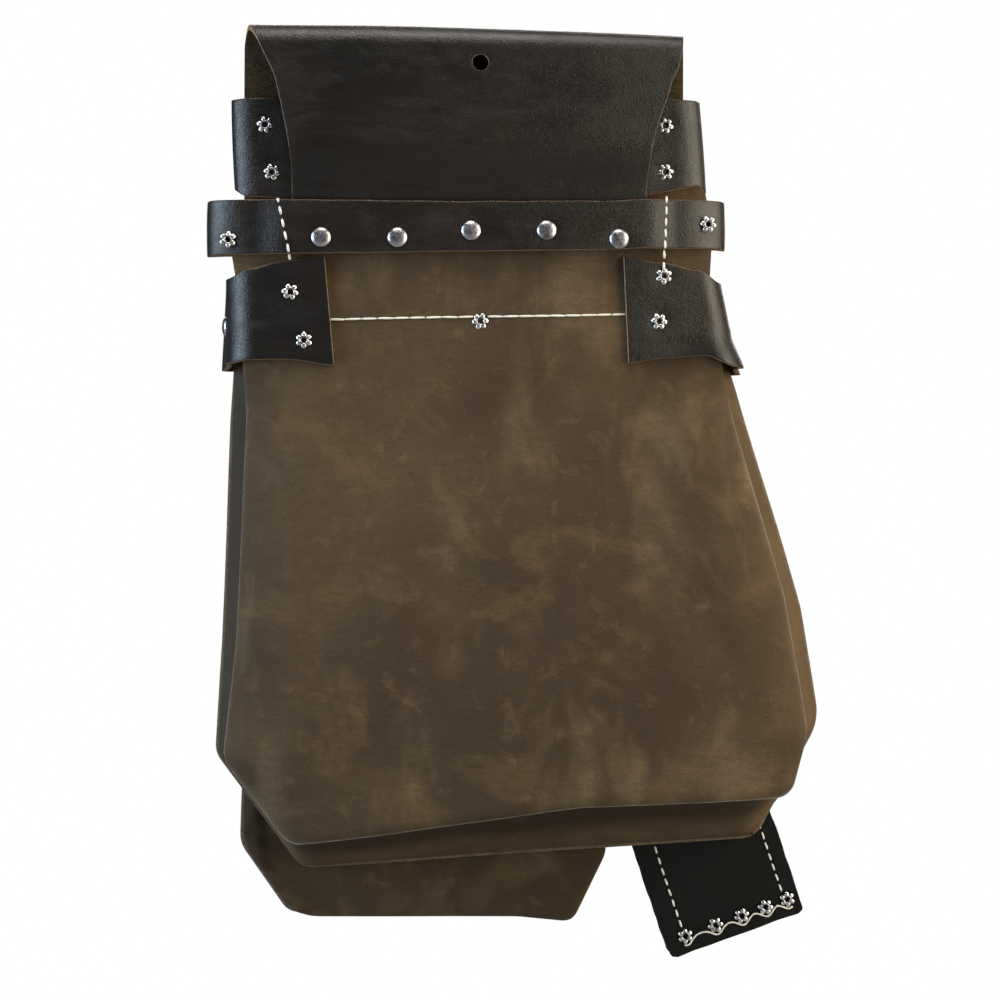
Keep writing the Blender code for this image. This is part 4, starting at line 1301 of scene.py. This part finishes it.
def make_rivet(name, body, chance):
    """A tubular rivet: a low dome on one side, and a hollow end split into six petals on the other."""
    centre, axis, half = RIVETS[name]
    grip = 2 * half - HEAD_HEIGHT - PETAL_HEIGHT
    shape = bmesh.new()
    dome = [(0.0, HEAD_HEIGHT)]
    for step in range(1, 9):
        angle = math.pi / 2 * step / 8
        dome.append((HEAD * math.sin(angle), 0.28 + (HEAD_HEIGHT - 0.28) * math.cos(angle)))
    dome += [(HEAD - 0.12, 0.0), (HEAD - 0.6, -0.12)]
    dome += [(SHANK_RADIUS, -0.12), (SHANK_RADIUS, -grip - 0.3)]
    mouth = (BORE_MOUTH[0], -grip - BORE_MOUTH[1])
    dome += [(2.15, -grip - 0.75), (1.95, -grip - PETAL_HEIGHT), mouth]
    lathe(shape, dome, 2)
    bore = [(BORE_RADIUS, -grip - 0.3), (BORE_RADIUS, -grip + 1.2), (0.0, -grip + 1.2)]
    lathe(shape, [mouth, *bore], 1)
    start = chance.uniform(0, math.pi / 3)
    for step in range(6):
        petal(shape, start + math.pi / 3 * step + chance.uniform(-0.06, 0.06), grip, chance)
    bmesh.ops.remove_doubles(shape, verts=shape.verts, dist=0.01)
    seat = centre + axis * (half - HEAD_HEIGHT)
    if body != "sheath":
        seat += drift(centre)
    place = Matrix.Translation(seat) @ axis.to_track_quat("Z", "Y").to_matrix().to_4x4()
    sunk = PINCH_DEPTH * 0.85
    for corner in shape.verts:
        corner.co.z += sunk if corner.co.z < -grip / 2 else -sunk
        corner.co = place @ corner.co
    made = to_object(name + "_metal", shape, (NICKEL, BORE, SHADED_DOME))
    finish_piece(made, body, name)


# ---------------------------------------------------------------- stitches


def stitch_row(shape, line, facing, stitch, chance, steady=False):
    """Separate stitches that fill a line: each rises from one hole and dips into the next."""
    pitch, dash, thickness = stitch
    run = Line(line)
    room = run.length - dash
    count = max(1, round(room / pitch))
    for index in range(count + 1):
        start = room * index / count + chance.uniform(-0.15, 0.15)
        tilt = chance.uniform(-0.25, 0.25)
        rings = []
        for step in range(9):
            share = step / 8
            centre, aside = run.aside((start + dash * share) / run.length, facing)
            size = thickness * (0.55 + 0.45 * math.sin(math.pi * share) ** 0.5)
            lift = thickness * (0.55 * math.sin(math.pi * share) ** 0.6 - 0.25)
            middle = centre + facing * lift + aside * (tilt * (share - 0.5))
            ring = [middle + aside * (size * c) + facing * (size * 0.8 * s) for c, s in circle(8)]
            rings.append([shape.verts.new(point if steady else point + drift(point)) for point in ring])
        tube(shape, rings, capped=True)


def running_thread(shape, points, thickness, facing):
    """A continuous thread along a smooth line, lightly twisted."""
    run = Line(points)
    count = int(run.length / 0.5)
    rings = []
    for step in range(count + 1):
        centre, aside = run.aside(step / count, facing)
        ring = []
        for side, (c, s) in enumerate(circle(8)):
            size = thickness * (1 + 0.16 * math.cos(math.pi / 2 * side + step * 0.9))
            ring.append(shape.verts.new(centre + aside * (size * c) + facing * (size * s)))
        rings.append(ring)
    tube(shape, rings, capped=True)


def finish_thread(shape, body, node):
    finish_piece(to_object(node + "_stitches", shape, (THREAD,)), body, node)


def make_hem_threads(chance):
    """Two runs of long stitches through the hem, with their reverse side on the board's other face."""
    for node, start, end in (("hem_thread", -63.0, 2.2), ("hem_thread_right", 8.8, 72.0)):
        shape = bmesh.new()
        for facing, face in ((REAR, -0.1), (-REAR, BOARD_Y + DARK + 0.1)):
            line = [Vector((x, face, -91.0 + 0.026 * x)) for x in (start, end)]
            stitch_row(shape, line, facing, HEM_STITCH, chance)
        finish_thread(shape, "pouch", node)


def make_strap_threads(chance):
    """One row over each end of the clamp strap, which goes on below it on the wearer's side."""
    rows = (
        ("strap_thread_left", (-85.6, -38.5), (-80.0, -66.0)),
        ("strap_thread_right", (90.0, -35.5), (88.6, -69.0)),
    )
    front = BOARD_Y + 2 * GAP + 2 * DARK + 0.3
    for node, upper, lower in rows:
        rear_line, front_line = [], []
        for spot in Line((upper, lower)).divided(40):
            rear = -GAP - DARK
            if strap_bottom(spot) < spot.y < strap_top(spot):
                rear = strap_y(spot.x)
                front_line.append(Vector((spot.x, front, spot.y)))
            rear_line.append(Vector((spot.x, rear - 0.2, spot.y)))
        shape = bmesh.new()
        for line, facing in ((rear_line, REAR), (front_line, -REAR)):
            stitch_row(shape, line, facing, STRAP_STITCH, chance)
        finish_thread(shape, "pouch", node)


def make_sheath_threads(chance):
    """Rows down both sides of the sheath, and the thread that runs on between its rivets."""
    rear = (SHEATH.to_3x3() @ REAR).normalized()
    front = SHEATH_BACK_Y + 2 * GAP + 2 * DARK + WELT + 0.1
    foot = SHEATH_RIVET_Z + 5.0
    for node, x in zip(("sheath_thread_left", "sheath_thread_right"), SHEATH_STITCH_X):
        shape = bmesh.new()
        swell = SHEATH_BULGE * math.cos(x / SHEATH_HALF_WIDTH * math.pi / 2) ** 1.5
        for facing, face, rise in ((rear, SHEATH_BACK_Y, 0.0), (-rear, front, swell)):
            line = []
            for step in range(41):
                z = part_way(foot, SHEATH_MOUTH - 4.0, step / 40)
                y = face + rise * above_welt(z)
                line.append(SHEATH @ Vector((x + 0.4 * math.sin(z / 21.0), y, z)))
            stitch_row(shape, line, facing, SHEATH_STITCH, chance, steady=True)
        if node == "sheath_thread_left":
            line = []
            for step in range(121):
                x = SHEATH_RIVETS[0] - 1.5 + (SHEATH_RIVETS[-1] - SHEATH_RIVETS[0] + 3.0) * step / 120
                near = min(abs(x - spot) for spot in SHEATH_RIVETS)
                dip = -3.6 * bell(near, 3.6)
                line.append(SHEATH @ Vector((x, SHEATH_BACK_Y - 0.35, SHEATH_RIVET_Z - 0.6 + dip)))
            running_thread(shape, line, 0.42, rear)
        finish_thread(shape, "sheath", node)


# ---------------------------------------------------------------- stage, light and camera


def white_to_camera(tree, lit, white, end):
    """The camera's own rays meet plain white, and all the others the lit shader."""
    white.inputs["Color"].default_value = (1.0, 1.0, 1.0, 1.0)
    seen = tree.nodes.new("ShaderNodeLightPath")
    blend = tree.nodes.new("ShaderNodeMixShader")
    links = (seen.outputs["Is Camera Ray"], lit.outputs[0], white.outputs[0])
    for socket, start in zip(blend.inputs, links):
        tree.links.new(start, socket)
    tree.links.new(blend.outputs[0], end.inputs["Surface"])


def make_stage():
    shape = bmesh.new()
    shape.faces.new([shape.verts.new((FLOOR_RADIUS * x, FLOOR_RADIUS * y, 0.0)) for x, y in circle(64)])
    mesh = bpy.data.meshes.new("floor")
    shape.to_mesh(mesh)
    shape.free()
    floor = bpy.data.objects.new("floor", mesh)
    floor.location.z = cad_low.z - FLOOR_DROP
    bpy.context.collection.objects.link(floor)
    finish = bpy.data.materials.new("pale_floor")
    finish.use_nodes = True
    nodes = finish.node_tree.nodes
    shader = nodes["Principled BSDF"]
    shader.inputs["Base Color"].default_value = (0.22, 0.22, 0.22, 1.0)
    shader.inputs["Roughness"].default_value = 0.9
    glow = nodes.new("ShaderNodeEmission")
    white_to_camera(finish.node_tree, shader, glow, nodes["Material Output"])
    mesh.materials.append(finish)


def make_world():
    world = bpy.data.worlds.new("studio")
    world.use_nodes = True
    bpy.context.scene.world = world
    nodes = world.node_tree.nodes
    ambient = nodes["Background"]
    ambient.inputs["Color"].default_value = (0.86, 0.93, 1.0, 1.0)
    ambient.inputs["Strength"].default_value = 0.07
    white_to_camera(world.node_tree, ambient, nodes.new("ShaderNodeBackground"), nodes["World Output"])


def make_light(name, place, size, power, colour):
    light = bpy.data.lights.new(name, "AREA")
    light.shape = "RECTANGLE"
    light.size, light.size_y = size
    light.energy = power
    light.color = colour
    made = bpy.data.objects.new(name, light)
    made.location = place
    made.rotation_euler = (Vector(AIM) - Vector(place)).to_track_quat("-Z", "Y").to_euler()
    bpy.context.collection.objects.link(made)


def make_lights():
    make_light("window", (-1.6, -0.40, 0.05), (0.9, 1.3), 33.0, (0.66, 0.83, 1.0))
    make_light("room", (1.05, -0.46, 0.0), (0.9, 1.3), 19.0, (1.0, 0.93, 0.74))
    make_light("ceiling", (0.0, -0.55, 1.4), (1.0, 0.8), 22.0, (1.0, 0.96, 0.90))
    make_light("behind", (0.4, 1.7, 0.7), (1.8, 1.2), 30.0, (1.0, 0.97, 0.93))


def make_camera():
    sight = bpy.data.cameras.new("camera")
    sight.lens = CAMERA_LENS
    sight.sensor_width = 36.0
    camera = bpy.data.objects.new("camera", sight)
    camera.location = CAMERA_PLACE
    camera.rotation_euler = (math.radians(90.0), 0.0, CAMERA_TURN)
    bpy.context.collection.objects.link(camera)
    bpy.context.scene.camera = camera


def main():
    bpy.context.scene.view_settings.view_transform = "Standard"
    chance = random.Random(4)
    make_camera()
    make_world()
    make_lights()
    make_stage()
    make_back_panel()
    make_tunnel_sheet()
    make_strap()
    make_band()
    make_wrap("corner_wrap_left", -1, LEFT_WRAP)
    make_wrap("corner_wrap_right", 1, RIGHT_WRAP)
    make_main_bag()
    make_hanger()
    make_pocket()
    make_sheath()
    for name in sorted(RIVETS):
        on_sheath = name.startswith("sheath_rivet")
        make_rivet(name, "sheath" if on_sheath else "pouch", chance)
    make_hem_threads(chance)
    make_strap_threads(chance)
    make_sheath_threads(chance)


main()
